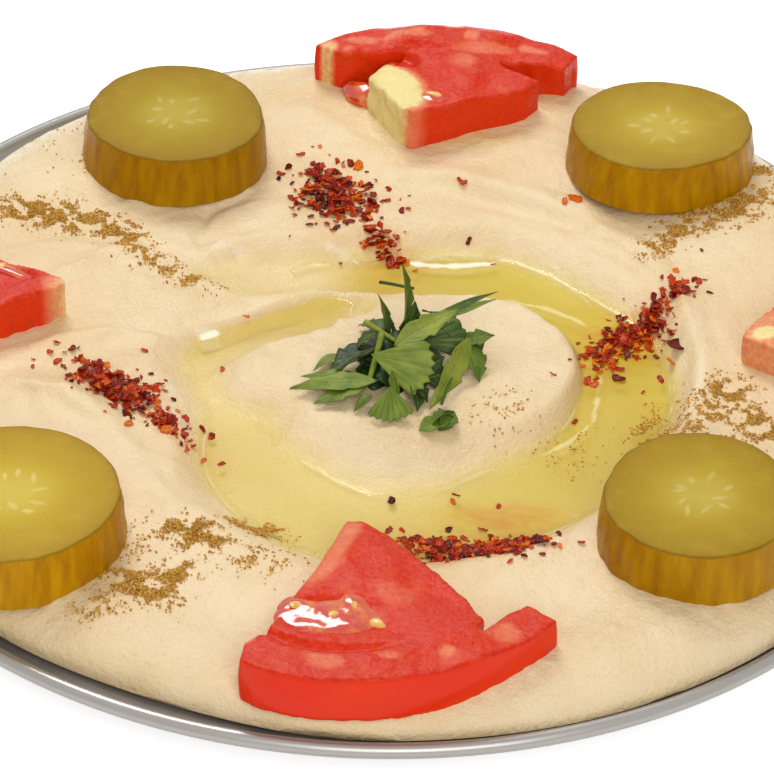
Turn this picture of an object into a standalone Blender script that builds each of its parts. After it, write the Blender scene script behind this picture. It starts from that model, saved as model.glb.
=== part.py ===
"""A steel plate of hummus with olive oil, pickle slices, tomato pieces and parsley.

The frame has +Z up and its origin under the middle of the plate, on the surface that the plate
stands on. -Y is the front of the plate. Headings are degrees about +Z, counted from +X.
"""

import math

import bmesh
import bpy
import numpy as np
from mathutils import Matrix, Vector

MM = 0.001

# Driving dimensions, in metres.
GAP = 0.3 * MM
PLATE_RADIUS = 110 * MM
PLATE_HEIGHT = 12 * MM
PLATE_BASE_RADIUS = 80 * MM
SHEET = 0.9 * MM
RIM_BEAD = 1.5 * MM
FLANGE_INNER_RADIUS = 92 * MM
FLANGE_INNER_HEIGHT = 8.6 * MM
PLATE_STEPS = 64

OIL_LEVEL = 16 * MM
SPREAD_LEVEL = 19.8 * MM
MOUND_RISE = 0.8 * MM
MOUND_CENTRE = (5 * MM, -8 * MM)
MOUND_WIDTH = 18 * MM
SHOULDER_WIDTH = 13 * MM
EDGE_THICKNESS = 0.8 * MM
HUMMUS_STEPS = 64

TOMATO_BEVEL = 0.7 * MM
PICKLE_BEVEL = 0.7 * MM
PICKLE_SIDES = 32

# Millimetres by heading, all round the plate.
HUMMUS_EDGE = {-90: 106, -45: 106, 0: 106, 45: 105, 90: 104, 135: 102.5, 180: 102, 225: 104}
HUMMUS_CREST = {-90: 18.6, -45: 19.6, 0: 19.8, 45: 22.3, 68: 22.6, 95: 20.8, 135: 20.6, 180: 19, 225: 19.4}

# The spoon's groove turns round the mound 1.2 times. Its heading is counted on past a whole turn.
# Its edges are where oil at OIL_LEVEL meets the hummus, in millimetres from the middle.
GROOVE_START = 88
GROOVE_END = 510
GROOVE_INNER = {
    88: 13, 114: 12, 134: 13, 162: 16, 174: 21, 184: 27.5, 198: 32, 210: 31, 225: 28.5, 238: 32,
    250: 34.5, 262: 38.5, 284: 40.5, 304: 38.8, 326: 40.2, 342: 39.5, 360: 38.5, 378: 35.7,
    390: 32.2, 402: 27, 415: 22.5, 435: 20, 458: 21.5, 472: 24.5, 484: 27.5, 497: 30, 510: 33,
}
GROOVE_OUTER = {
    88: 15.8, 100: 18, 112: 21, 122: 22.6, 137: 23.6, 148: 26, 158: 28.3, 168: 33, 182: 38,
    199: 37.5, 210: 39, 218: 43, 228: 49, 236: 53, 246: 57, 258: 61, 284: 61.5, 298: 61.5,
    312: 61, 325: 60, 340: 58.8, 360: 56, 372: 52.5, 385: 48, 406: 43.4, 420: 40.2, 434: 36.5,
    446: 34, 460: 34, 475: 36, 491: 40, 510: 44,
}
GROOVE_DEPTH = {
    88: 0, 104: 4, 125: 5.4, 160: 5, 190: 4.9, 215: 5.1, 240: 5.5, 270: 5.8, 330: 5.8, 400: 5.7,
    430: 5.5, 447: 5, 462: 3.6, 480: 3.1, 496: 2.2, 510: 0,
}
INNER_BANK = {88: 4, 150: 4, 175: 7, 200: 8, 225: 9, 260: 13, 300: 13, 325: 6, 380: 5, 450: 5, 510: 5}
OUTER_BANK = {88: 4, 140: 4, 162: 5, 188: 9, 225: 9, 270: 11, 320: 7, 360: 9, 400: 9, 450: 7, 510: 8}
BANK_SHARE = 0.63
OIL_START = 108
OIL_END = 449
OIL_OVERLAP = 3 * MM

# Low ridges that the spoon left: height and half width in mm, then the line's points.
RIDGES = (
    (1.0, 3.5, ((8, 57), (18, 58), (30, 52), (37, 44))),
    (0.9, 4.0, ((-72, -14), (-60, -20), (-50, -30), (-38, -52))),
    (0.8, 4.0, ((61, 20), (57, 3), (57, -15), (56, -22))),
    (0.8, 3.0, ((-36, 42), (-34, 46), (-26, 48))),
)

# Name, middle of the top face (x, y, z), radius, thickness in mm, and tilt towards the front.
PICKLES = (
    ("pickle_back_left", (-42, 62, 30), 18.0, 10.4, -2),
    ("pickle_back_right", (55, 62, 30.2), 18.2, 9.8, -5),
    ("pickle_front_right", (59.5, -57, 30), 18.2, 11.0, 1),
    ("pickle_front_left", (-66, -61.5, 30), 19.3, 11.2, 3),
)

# Outlines in mm from the tip: distance out along the heading, then distance to its left.
# The skin is an arc from the last point to the first.
QUARTER = ((21, 25), (0.8, 1.6), (0, -0.4), (1.2, -1.8), (25, -22))
LEFT_CUT = ((24, 15.8), (12.1, 8.6), (3.2, 2.9), (0.2, -0.4), (1.6, -2.6), (27, -12.5))
FRONT_CUT = (
    (28, 37.2), (23.6, 31.8), (25.7, 28.8), (33.3, 22.6), (28, 24), (22.5, 21), (15.6, 15.8),
    (7, 9.3), (0.4, 1.4), (0.5, -1.2), (15, -6.6), (33, -15), (36, -18.5), (41, -19.3),
)
BACK_CUT = (
    (23.5, 19.3), (20.5, 14.2), (22.4, 0), (17, 5), (12.5, 8.4), (1, 1), (0, -0.6), (3.2, -8.8),
    (9, -23.6), (12.5, -26.4), (15.5, -22), (19.8, -16.5), (17, -31.5), (22, -34),
)
# Name, tip (x, y), heading, bottom, top, reach of the skin, outline.
TOMATOES = (
    ("tomato_front", (-4, -60), -90, 15.2, 24.8, 45.3, FRONT_CUT),
    ("tomato_back", (4.5, 65.5), 90, 19.6, 29.4, 32, BACK_CUT),
    ("tomato_left", (-60.5, 7), 176, 18.3, 27, 36, LEFT_CUT),
    ("tomato_right", (69.3, -2), 4, 18.2, 26, 34, QUARTER),
)
SKIN_STEPS = 14

PARSLEY_CENTRE = (2.5, -9.5, 21)
PARSLEY_HALF_SIZE = (17, 14.2, 15.5)
PARSLEY_FOOT = 20.2 * MM
SCRAP_CENTRE = (11.8, -26, 20.3)
SCRAP_HALF_SIZE = (3.4, 2.5, 1.6)
SCRAP_FOOT = 19.5 * MM

# Red, green and blue in linear light, roughness, and metallic value.
COLOURS = {
    "steel": ((0.55, 0.55, 0.56), 0.25, 1.0),
    "hummus": ((0.83, 0.66, 0.42), 0.45, 0.0),
    "oil": ((0.62, 0.52, 0.08), 0.08, 0.0),
    "pickle": ((0.36, 0.27, 0.03), 0.3, 0.0),
    "tomato": ((0.68, 0.05, 0.015), 0.25, 0.0),
    "parsley": ((0.06, 0.16, 0.02), 0.5, 0.0),
}


def curve_through(table, at):
    """Reads a smooth curve through {degrees: millimetres} at degrees `at`, in metres."""
    places = np.array(list(table), float)
    values = np.array(list(table.values()), float) * MM
    slopes = np.gradient(values, places)
    at = np.clip(at, places[0], places[-1])
    first = np.clip(np.searchsorted(places, at, side="right") - 1, 0, len(places) - 2)
    span = places[first + 1] - places[first]
    t = (at - places[first]) / span
    from_start = values[first] + slopes[first] * span * t
    from_end = values[first + 1] - slopes[first + 1] * span * (1 - t)
    blend = t * t * (3 - 2 * t)
    return from_start * (1 - blend) + from_end * blend


def curve_around(table, headings):
    """Reads a smooth closed curve through {heading: millimetres}, in metres."""
    turns = (-360, 0, 360)
    repeated = {place + turn: value for turn in turns for place, value in table.items()}
    return curve_through(repeated, (np.degrees(headings) + 180) % 360 - 180)


def smoothstep(t):
    t = np.clip(t, 0, 1)
    return t * t * (3 - 2 * t)


def distance_to_line(x, y, points_mm):
    """Distance in metres from each place to a line of straight runs."""
    nearest = np.full(np.shape(x), np.inf)
    points = np.array(points_mm, float) * MM
    for start, end in zip(points[:-1], points[1:]):
        along = end - start
        t = ((x - start[0]) * along[0] + (y - start[1]) * along[1]) / (along @ along)
        t = np.clip(t, 0, 1)
        nearest = np.minimum(nearest, np.hypot(x - start[0] - t * along[0], y - start[1] - t * along[1]))
    return nearest


def groove_depth(radius, heading):
    """How deep the spoon's groove is at each place, from the spread's own level."""
    depth = np.zeros(np.shape(radius))
    for turn in (0, 360, 720):
        around = np.degrees(heading) % 360 + turn
        inner = curve_through(GROOVE_INNER, around)
        outer = curve_through(GROOVE_OUTER, around)
        from_inner = (radius - inner) / curve_through(INNER_BANK, around) + BANK_SHARE
        from_outer = (outer - radius) / curve_through(OUTER_BANK, around) + BANK_SHARE
        trough = smoothstep(from_inner) * smoothstep(from_outer)
        inside = (around >= GROOVE_START) & (around <= GROOVE_END)
        depth = np.maximum(depth, inside * trough * curve_through(GROOVE_DEPTH, around))
    return depth


def hummus_top(x, y):
    """Height of the hummus at each place, with no topping on it."""
    radius = np.hypot(x, y)
    heading = np.arctan2(y, x)
    edge = curve_around(HUMMUS_EDGE, heading)
    crest = curve_around(HUMMUS_CREST, heading)
    outwards = smoothstep((radius - 55 * MM) / (35 * MM))
    to_mound = np.hypot(x - MOUND_CENTRE[0], y - MOUND_CENTRE[1]) / MOUND_WIDTH
    height = SPREAD_LEVEL + MOUND_RISE * np.exp(-to_mound * to_mound / 2)
    height = height + (crest - height) * outwards - groove_depth(radius, heading)
    for rise, half_width, line in RIDGES:
        away = distance_to_line(x, y, line) / (half_width * MM)
        height = height + rise * MM * np.exp(-away * away)
    inwards = np.clip((edge - radius) / SHOULDER_WIDTH, 0, 1)
    shoulder = np.sqrt(1 - (1 - inwards) ** 2)
    foot = flange_height(radius) + GAP + EDGE_THICKNESS
    return foot + (height - foot) * shoulder


def flange_height(radius):
    """Height of the plate's flange where hummus lies on it."""
    end = PLATE_RADIUS - 2 * RIM_BEAD
    slope = (PLATE_HEIGHT - RIM_BEAD - FLANGE_INNER_HEIGHT) / (end - FLANGE_INNER_RADIUS)
    return FLANGE_INNER_HEIGHT + (radius - FLANGE_INNER_RADIUS) * slope


def clear_scene():
    for old in list(bpy.data.objects):
        bpy.data.objects.remove(old, do_unlink=True)


def new_collection(name):
    collection = bpy.data.collections.new(name)
    bpy.context.scene.collection.children.link(collection)
    return collection


def new_material(name):
    colour, roughness, metallic = COLOURS[name]
    material = bpy.data.materials.new(name)
    material.use_nodes = True
    material.diffuse_color = (*colour, 1)
    shader = material.node_tree.nodes["Principled BSDF"]
    shader.inputs["Base Color"].default_value = (*colour, 1)
    shader.inputs["Roughness"].default_value = roughness
    shader.inputs["Metallic"].default_value = metallic
    return material


def new_object(name, bm, collection, material=None):
    """Makes an object of a bmesh, shaded smooth apart from its sharp edges."""
    mesh = bpy.data.meshes.new(name)
    bm.to_mesh(mesh)
    bm.free()
    mesh.shade_smooth()
    mesh.set_sharp_from_angle(angle=math.radians(40))
    made = bpy.data.objects.new(name, mesh)
    collection.objects.link(made)
    if material:
        mesh.materials.append(material)
    return made


def move_points(bm, moved):
    """Gives every vertex the place that `moved` works out from arrays of x, y and z."""
    places = np.array([v.co for v in bm.verts])
    for vertex, place in zip(bm.verts, np.stack(moved(*places.T), axis=1)):
        vertex.co = place


def closed_outwards(bm):
    bmesh.ops.remove_doubles(bm, verts=bm.verts[:], dist=0.001 * MM)
    bmesh.ops.recalc_face_normals(bm, faces=bm.faces[:])
    return bm


def plate_profile():
    """The plate's section, from the middle of its upper face over the rim to the underside."""
    end = PLATE_RADIUS - 2 * RIM_BEAD
    flange_end = PLATE_HEIGHT - RIM_BEAD
    bead_middle = (PLATE_RADIUS - RIM_BEAD, PLATE_HEIGHT - RIM_BEAD)
    points = [(0, SHEET), (PLATE_BASE_RADIUS, SHEET), (PLATE_BASE_RADIUS + 5 * MM, 2.4 * MM)]
    points += [(FLANGE_INNER_RADIUS - 3 * MM, FLANGE_INNER_HEIGHT - 1.4 * MM)]
    points += [(FLANGE_INNER_RADIUS, FLANGE_INNER_HEIGHT), (end, flange_end)]
    for step in range(1, 8):
        turn = math.radians(180 - 40 * step)
        offset = (RIM_BEAD * math.cos(turn), RIM_BEAD * math.sin(turn))
        points.append((bead_middle[0] + offset[0], bead_middle[1] + offset[1]))
    points += [(end - 1 * MM, flange_end - SHEET - 0.1 * MM)]
    points += [(FLANGE_INNER_RADIUS + 1 * MM, FLANGE_INNER_HEIGHT - SHEET)]
    points += [(PLATE_BASE_RADIUS + 5.6 * MM, 1.2 * MM), (PLATE_BASE_RADIUS, 0), (0, 0)]
    return points


def make_plate(collection):
    """A turned plate: flat base, short wall, wide flange and a rolled bead."""
    bm = bmesh.new()
    vertices = [bm.verts.new((radius, 0, height)) for radius, height in plate_profile()]
    for first, second in zip(vertices[:-1], vertices[1:]):
        bm.edges.new((first, second))
    plate = new_object("plate", bm, collection, new_material("steel"))
    turning = plate.modifiers.new("turned", "SCREW")
    turning.steps = PLATE_STEPS
    turning.render_steps = PLATE_STEPS
    turning.use_merge_vertices = True
    turning.merge_threshold = 0.01 * MM
    return plate


def hummus_mesh(raised=0.0):
    """The hummus with no pockets: its relief above, and the plate's inner face below."""
    rings = [0, 6, 10, 13, 16, 19, 22, 25, 28, 31, 34, 37, 41, 46, 51, 56, 61, 67, 76, 86, 94, 99]
    rings += [102.5, 105, 106]
    floor = [(FLANGE_INNER_RADIUS + 0.5 * MM, FLANGE_INNER_HEIGHT + 0.1 * MM)]
    floor += [(FLANGE_INNER_RADIUS - 3 * MM, FLANGE_INNER_HEIGHT - 1.2 * MM)]
    floor += [(PLATE_BASE_RADIUS + 4.6 * MM, 2.6 * MM), (PLATE_BASE_RADIUS - 0.5 * MM, SHEET), (0, SHEET)]
    widest = rings[-1] * MM
    bm = bmesh.new()
    section = [bm.verts.new((ring * MM, 0, 1)) for ring in rings]
    section += [bm.verts.new((widest, 0, flange_height(widest) + GAP))]
    section += [bm.verts.new((radius, 0, height + GAP)) for radius, height in floor]
    edges = [bm.edges.new(pair) for pair in zip(section[:-1], section[1:])]
    bmesh.ops.spin(
        bm, geom=section + edges, cent=(0, 0, 0), axis=(0, 0, 1), angle=math.tau,
        steps=HUMMUS_STEPS, use_merge=True, use_duplicate=False,
    )

    def shaped(x, y, z):
        reach = np.hypot(x, y)
        heading = np.arctan2(y, x)
        edge = curve_around(HUMMUS_EDGE, heading)
        outer = smoothstep((reach - FLANGE_INNER_RADIUS) / (widest - FLANGE_INNER_RADIUS))
        scale = 1 + (edge / widest - 1) * outer
        x, y = x * scale, y * scale
        below = np.where(reach > widest - MM, flange_height(reach * scale) + GAP, z)
        return x, y, np.where(z > 0.5, hummus_top(x, y), below) + raised

    move_points(bm, shaped)
    closed_outwards(bm)
    bmesh.ops.triangulate(bm, faces=bm.faces[:])
    return bm


def oil_mesh():
    """A band that follows the groove, from below its floor up to the oil's level."""
    turns = 72
    across = 2
    bm = bmesh.new()
    bmesh.ops.create_grid(bm, x_segments=turns, y_segments=across, size=0.5)
    bottom = bm.faces[:]
    lifted = bmesh.ops.extrude_face_region(bm, geom=bottom)["geom"]
    for item in lifted:
        if isinstance(item, bmesh.types.BMVert):
            item.co.z = 1

    def shaped(x, y, z):
        around = OIL_START + (x + 0.5) * (OIL_END - OIL_START)
        inner = curve_through(GROOVE_INNER, around) - np.minimum(
            OIL_OVERLAP, curve_through(INNER_BANK, around) * 0.3
        )
        outer = curve_through(GROOVE_OUTER, around) + np.minimum(
            OIL_OVERLAP, curve_through(OUTER_BANK, around) * 0.3
        )
        radius = inner + (y + 0.5) * (outer - inner)
        heading = np.radians(around)
        height = np.where(z > 0.5, OIL_LEVEL, OIL_LEVEL - 4 * MM)
        return radius * np.cos(heading), radius * np.sin(heading), height

    move_points(bm, shaped)
    return closed_outwards(bm)


def pickle_mesh(top, radius, thickness, tilt, grow=0.0):
    """A slice cut across a gherkin: a slightly uneven round with a soft edge."""
    radius = radius * MM + grow
    thickness = thickness * MM + 2 * grow
    bm = bmesh.new()
    bmesh.ops.create_cone(
        bm, cap_ends=True, segments=PICKLE_SIDES, radius1=radius * 1.01, radius2=radius, depth=thickness
    )
    phase = top[0] * 0.37
    for vertex in bm.verts:
        heading = math.atan2(vertex.co.y, vertex.co.x)
        uneven = 1 + 0.012 * math.sin(3 * heading + phase) + 0.012 * math.cos(2 * heading - phase)
        vertex.co.x *= uneven
        vertex.co.y *= uneven
    rims = [edge for edge in bm.edges if abs(edge.verts[0].co.z - edge.verts[1].co.z) < MM]
    bmesh.ops.bevel(bm, geom=rims, offset=PICKLE_BEVEL, segments=1, profile=0.5, affect="EDGES")
    turn = Matrix.Rotation(math.radians(tilt), 4, "X")
    middle = Vector(top) * MM - Vector((0, 0, thickness / 2 - grow))
    bmesh.ops.transform(bm, matrix=Matrix.Translation(middle) @ turn, verts=bm.verts[:])
    return closed_outwards(bm)


def skin_arc(start, end, reach):
    """Points between two ends of the skin, on a curve that bulges out to `reach`."""
    bulge = reach - (start[0] + end[0]) / 2
    for step in range(1, SKIN_STEPS):
        t = step / SKIN_STEPS
        out = start[0] + (end[0] - start[0]) * t + bulge * (1 - (2 * t - 1) ** 2) ** 0.8
        yield out, start[1] + (end[1] - start[1]) * t


def tomato_outline(tip, heading, reach, cut):
    """Places round the piece, in metres."""
    points = [*cut, *skin_arc(cut[-1], cut[0], reach)]
    turn = Matrix.Rotation(math.radians(heading), 2)
    return [(Vector(tip) + turn @ Vector(point)) * MM for point in points]


def tomato_mesh(tip, heading, bottom, top, reach, cut, grow=0.0):
    """A piece of a thick tomato slice: a flat outline with skin round its outside."""
    bm = bmesh.new()
    places = tomato_outline(tip, heading, reach, cut)
    outline = [bm.verts.new((*place, bottom * MM - grow)) for place in places]
    base = bm.faces.new(outline)
    base.normal_update()
    if base.normal.z > 0:
        base.normal_flip()
    if grow:
        bmesh.ops.inset_region(bm, faces=[base], thickness=grow, use_outset=True, use_even_offset=True)
    lifted = bmesh.ops.extrude_face_region(bm, geom=bm.faces[:], use_keep_orig=True)["geom"]
    raised = [item for item in lifted if isinstance(item, bmesh.types.BMVert)]
    for vertex in raised:
        vertex.co.z = top * MM + grow
    closed_outwards(bm)
    if not grow:
        rims = [edge for edge in bm.edges if min(v.co.z for v in edge.verts) > top * MM - 0.1 * MM]
        rims = [edge for edge in rims if edge.calc_face_angle(0) > math.radians(45)]
        bmesh.ops.bevel(bm, geom=rims, offset=TOMATO_BEVEL, segments=1, profile=0.5, affect="EDGES")
    return bm


def heap_mesh(centre, half_size, foot, fineness, grow=0.0):
    """A rounded heap with an uneven outline, cut flat where it rests."""
    bm = bmesh.new()
    bmesh.ops.create_icosphere(bm, subdivisions=fineness, radius=1)
    size = Vector(half_size) * MM + Vector((grow, grow, grow))
    for vertex in bm.verts:
        heading = math.atan2(vertex.co.y, vertex.co.x)
        uneven = 1 + 0.10 * math.sin(3 * heading + 1) + 0.07 * math.sin(5 * heading + 4 * vertex.co.z)
        vertex.co = Vector(a * b for a, b in zip(vertex.co * uneven, size)) + Vector(centre) * MM
    cut = bmesh.ops.bisect_plane(
        bm, geom=bm.verts[:] + bm.edges[:] + bm.faces[:], plane_co=(0, 0, foot - grow),
        plane_no=(0, 0, -1), clear_outer=True,
    )
    rim = [item for item in cut["geom_cut"] if isinstance(item, bmesh.types.BMEdge)]
    bmesh.ops.edgenet_fill(bm, edges=rim)
    return closed_outwards(bm)


def toppings():
    """Name, material and mesh maker of everything that is pressed into the hummus."""
    for name, *shape in PICKLES:
        yield name, "pickle", lambda grow, shape=shape: pickle_mesh(*shape, grow)
    for name, *shape in TOMATOES:
        yield name, "tomato", lambda grow, shape=shape: tomato_mesh(*shape, grow)
    heap = (PARSLEY_CENTRE, PARSLEY_HALF_SIZE, PARSLEY_FOOT, 3)
    yield "parsley_heap", "parsley", lambda grow: heap_mesh(*heap, grow)
    scrap = (SCRAP_CENTRE, SCRAP_HALF_SIZE, SCRAP_FOOT, 2)
    yield "parsley_scrap", "parsley", lambda grow: heap_mesh(*scrap, grow)


def cut_away(target, cutter):
    cut = target.modifiers.new("cut_by_" + cutter.name, "BOOLEAN")
    cut.operation = "DIFFERENCE"
    cut.solver = "EXACT"
    cut.object = cutter


def new_cutter(name, bm, collection):
    cutter = new_object(name, bm, collection)
    cutter.hide_render = True
    cutter.display_type = "WIRE"
    return cutter


def main():
    clear_scene()
    parts = new_collection("hummus_plate")
    cutters = new_collection("cutters")
    make_plate(parts)
    hummus = new_object("hummus", hummus_mesh(), parts, new_material("hummus"))
    oil = new_object("olive_oil", oil_mesh(), parts, new_material("oil"))
    cut_away(oil, new_cutter("hummus_under_oil", hummus_mesh(raised=GAP), cutters))
    materials = {name: new_material(name) for name in ("pickle", "tomato", "parsley")}
    for name, finish, made in toppings():
        new_object(name, made(0.0), parts, materials[finish])
        pocket = new_cutter("pocket_" + name, made(GAP), cutters)
        cut_away(hummus, pocket)
        if name == "tomato_front":
            cut_away(oil, pocket)


main()
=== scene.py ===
"""Finished looks of a steel plate of hummus with oil, gherkin, tomato, parsley and spices.

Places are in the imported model's frame: +Z up, origin under the middle of the plate, -Y its front.
Tables are in millimetres and degrees, and headings count from +X about +Z.
"""

import logging
import math
from dataclasses import dataclass, field
from enum import Enum
from typing import Iterable, Sequence

import bmesh
import bpy
import numpy as np
from mathutils import Matrix, Vector


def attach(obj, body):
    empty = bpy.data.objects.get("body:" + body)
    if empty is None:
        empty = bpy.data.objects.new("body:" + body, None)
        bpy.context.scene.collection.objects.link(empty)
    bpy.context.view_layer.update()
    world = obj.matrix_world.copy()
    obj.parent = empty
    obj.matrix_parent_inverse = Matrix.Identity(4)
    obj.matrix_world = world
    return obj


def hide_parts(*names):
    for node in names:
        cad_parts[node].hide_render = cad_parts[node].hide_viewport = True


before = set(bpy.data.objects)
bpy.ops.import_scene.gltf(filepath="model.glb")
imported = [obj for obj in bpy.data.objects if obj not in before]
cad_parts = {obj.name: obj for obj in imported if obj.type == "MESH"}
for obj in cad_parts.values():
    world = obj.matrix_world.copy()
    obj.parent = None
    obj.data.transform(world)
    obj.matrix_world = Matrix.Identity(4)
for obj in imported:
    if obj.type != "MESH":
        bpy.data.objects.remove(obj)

LOG = logging.getLogger("hummus_plate")
MM = 0.001
TAU = math.tau
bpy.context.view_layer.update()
WAVE_COUNT = 20
WAVE_LENGTHS = (0.7, 1.5)
WAVE_HEIGHT = 0.8
Colour = tuple[float, float, float]
Table = dict[float, float]
Place = tuple[float, float, float]
Oval = tuple[float, float, float, float]
Line = tuple[tuple[float, float], ...]
Array = np.ndarray
Part = tuple[bpy.types.Mesh, dict[str, Array]]


# ---------------------------------------------------------------------------------- numbers


def srgb(red: int, green: int, blue: int) -> Colour:
    """Returns a colour given as 0 to 255, as linear light."""
    def linear(part: float) -> float:
        """Returns one part of the colour as linear light."""
        part /= 255
        return part / 12.92 if part <= 0.04045 else ((part + 0.055) / 1.055) ** 2.4
    return linear(red), linear(green), linear(blue)


def smoothstep(t: Array | float) -> Array:
    """Returns 0 to 1 with soft ends for t from 0 to 1."""
    t = np.clip(t, 0, 1)
    return t * t * (3 - 2 * t)


def curve_through(table: Table, at: Array) -> Array:
    """Reads a smooth curve.

    Args:
        table: the curve's points, as {place: value}, in order.
        at: the places to read it at. Past the ends it stays level.

    Returns:
        The value at each place.
    """
    places = np.array(list(table), float)
    values = np.array(list(table.values()), float)
    slopes = np.gradient(values, places)
    at = np.clip(at, places[0], places[-1])
    first = np.clip(np.searchsorted(places, at, side="right") - 1, 0, len(places) - 2)
    span = places[first + 1] - places[first]
    t = (at - places[first]) / span
    from_start = values[first] + slopes[first] * span * t
    from_end = values[first + 1] - slopes[first + 1] * span * (1 - t)
    blend = t * t * (3 - 2 * t)
    return from_start * (1 - blend) + from_end * blend


def curve_around(table: Table, heading: Array) -> Array:
    """Reads a closed curve.

    Args:
        table: {heading in degrees: value}.
        heading: headings in radians.

    Returns:
        The value at each heading.
    """
    repeated = {place + turn: value for turn in (-360, 0, 360) for place, value in table.items()}
    return curve_through(repeated, (np.degrees(heading) + 180) % 360 - 180)


def waves(x: Array, y: Array, length: float, seed: int, stretch: float = 1.0) -> Array:
    """Soft noise as a sum of waves.

    Args:
        x: places, in mm.
        y: places, in mm.
        length: the typical wave length, in mm.
        seed: picks the pattern.
        stretch: how much longer the waves are along X than along Y.

    Returns:
        Values of about -1 to 1.
    """
    random = np.random.default_rng(seed)
    total = np.zeros(np.shape(x))
    for _ in range(WAVE_COUNT):
        turn, phase = random.uniform(0, TAU, 2)
        number = TAU / (length * random.uniform(*WAVE_LENGTHS))
        along = x * math.cos(turn) / stretch + y * math.sin(turn)
        total = total + np.cos(along * number + phase)
    return total / math.sqrt(WAVE_COUNT) * WAVE_HEIGHT


def oval(x: Array, y: Array, place: Oval, reach: float = 1.5) -> Array:
    """Returns 1 inside an oval and 0 well outside it.

    Args:
        x: places, in mm.
        y: places, in mm.
        place: the oval's middle, x and y, and its half sizes along them.
        reach: how far out it ends, in half sizes.
    """
    return smoothstep(reach - np.hypot((x - place[0]) / place[2], (y - place[1]) / place[3]))


def into_frame(right: Array, up: Array, turn: float) -> tuple[Array, Array]:
    """Returns offsets measured along a heading of turn radians, and across it to its left."""
    along = right * math.cos(turn) + up * math.sin(turn)
    across = up * math.cos(turn) - right * math.sin(turn)
    return along, across


def along_line(x: Array, y: Array, line: Line) -> tuple[Array, Array]:
    """Measures places against a line of straight runs.

    Args:
        x: places, in mm.
        y: places, in mm.
        line: the line's points, in mm.

    Returns:
        The distance from the line, positive on its left, and how far along it each place is, 0 to 1.
    """
    points = np.array(line, float)
    lengths = np.hypot(*np.diff(points, axis=0).T)
    best = np.full(np.shape(x), np.inf)
    side = np.zeros(np.shape(x))
    part = np.zeros(np.shape(x))
    done = 0.0
    for start, end, length in zip(points[:-1], points[1:], lengths):
        along = (end - start) / length
        t = np.clip((x - start[0]) * along[0] + (y - start[1]) * along[1], 0, length)
        away_x, away_y = x - start[0] - t * along[0], y - start[1] - t * along[1]
        away = np.hypot(away_x, away_y)
        nearer = away < best
        best = np.where(nearer, away, best)
        side = np.where(nearer, np.sign(along[0] * away_y - along[1] * away_x), side)
        part = np.where(nearer, (done + t) / lengths.sum(), part)
        done += length
    return best * side, part


def spread(line: Line, smoothness: int = 8) -> Line:
    """Rounds a line of a few points.

    Args:
        line: the points that it passes through.
        smoothness: how many short runs replace each run.

    Returns:
        The points of a smooth curve through them.
    """
    steps = np.arange(len(line), dtype=float)
    fine = np.linspace(0, len(line) - 1, (len(line) - 1) * smoothness + 1)
    columns = np.array(line, float).T
    return tuple(zip(*(curve_through(dict(zip(steps, column)), fine) for column in columns)))


# ---------------------------------------------------------------------------------- materials


class Value:
    """A number or colour socket that can be used in sums."""

    def __init__(self, shader: "Shader", socket: bpy.types.NodeSocket) -> None:
        """Wraps one output socket of a shader's tree."""
        self.shader = shader
        self.socket = socket

    def maths(self, operation: str, *others: "Value | float", clamp: bool = False) -> "Value":
        """Returns this value combined with others by a Math node."""
        settings = {"operation": operation, "use_clamp": clamp}
        return self.shader.node("ShaderNodeMath", settings, [self, *others])

    def __add__(self, other: "Value | float") -> "Value":
        """Returns the sum."""
        return self.maths("ADD", other)

    def __sub__(self, other: "Value | float") -> "Value":
        """Returns the difference."""
        return self.maths("SUBTRACT", other)

    def __rsub__(self, other: float) -> "Value":
        """Returns the number less this value."""
        return (self * -1.0) + other

    def __mul__(self, other: "Value | float") -> "Value":
        """Returns the product."""
        return self.maths("MULTIPLY", other)

    __radd__ = __add__
    __rmul__ = __mul__

    def clamped(self) -> "Value":
        """Returns the value kept within 0 and 1."""
        return self.maths("ADD", 0.0, clamp=True)

    def above(self, low: float, high: float) -> "Value":
        """Returns 0 below low, 1 above high, and a soft step between them."""
        settings = {"interpolation_type": "SMOOTHSTEP"}
        sockets = {0: self, 1: low, 2: high, 3: 0.0, 4: 1.0}
        return self.shader.node("ShaderNodeMapRange", settings, sockets)


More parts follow.
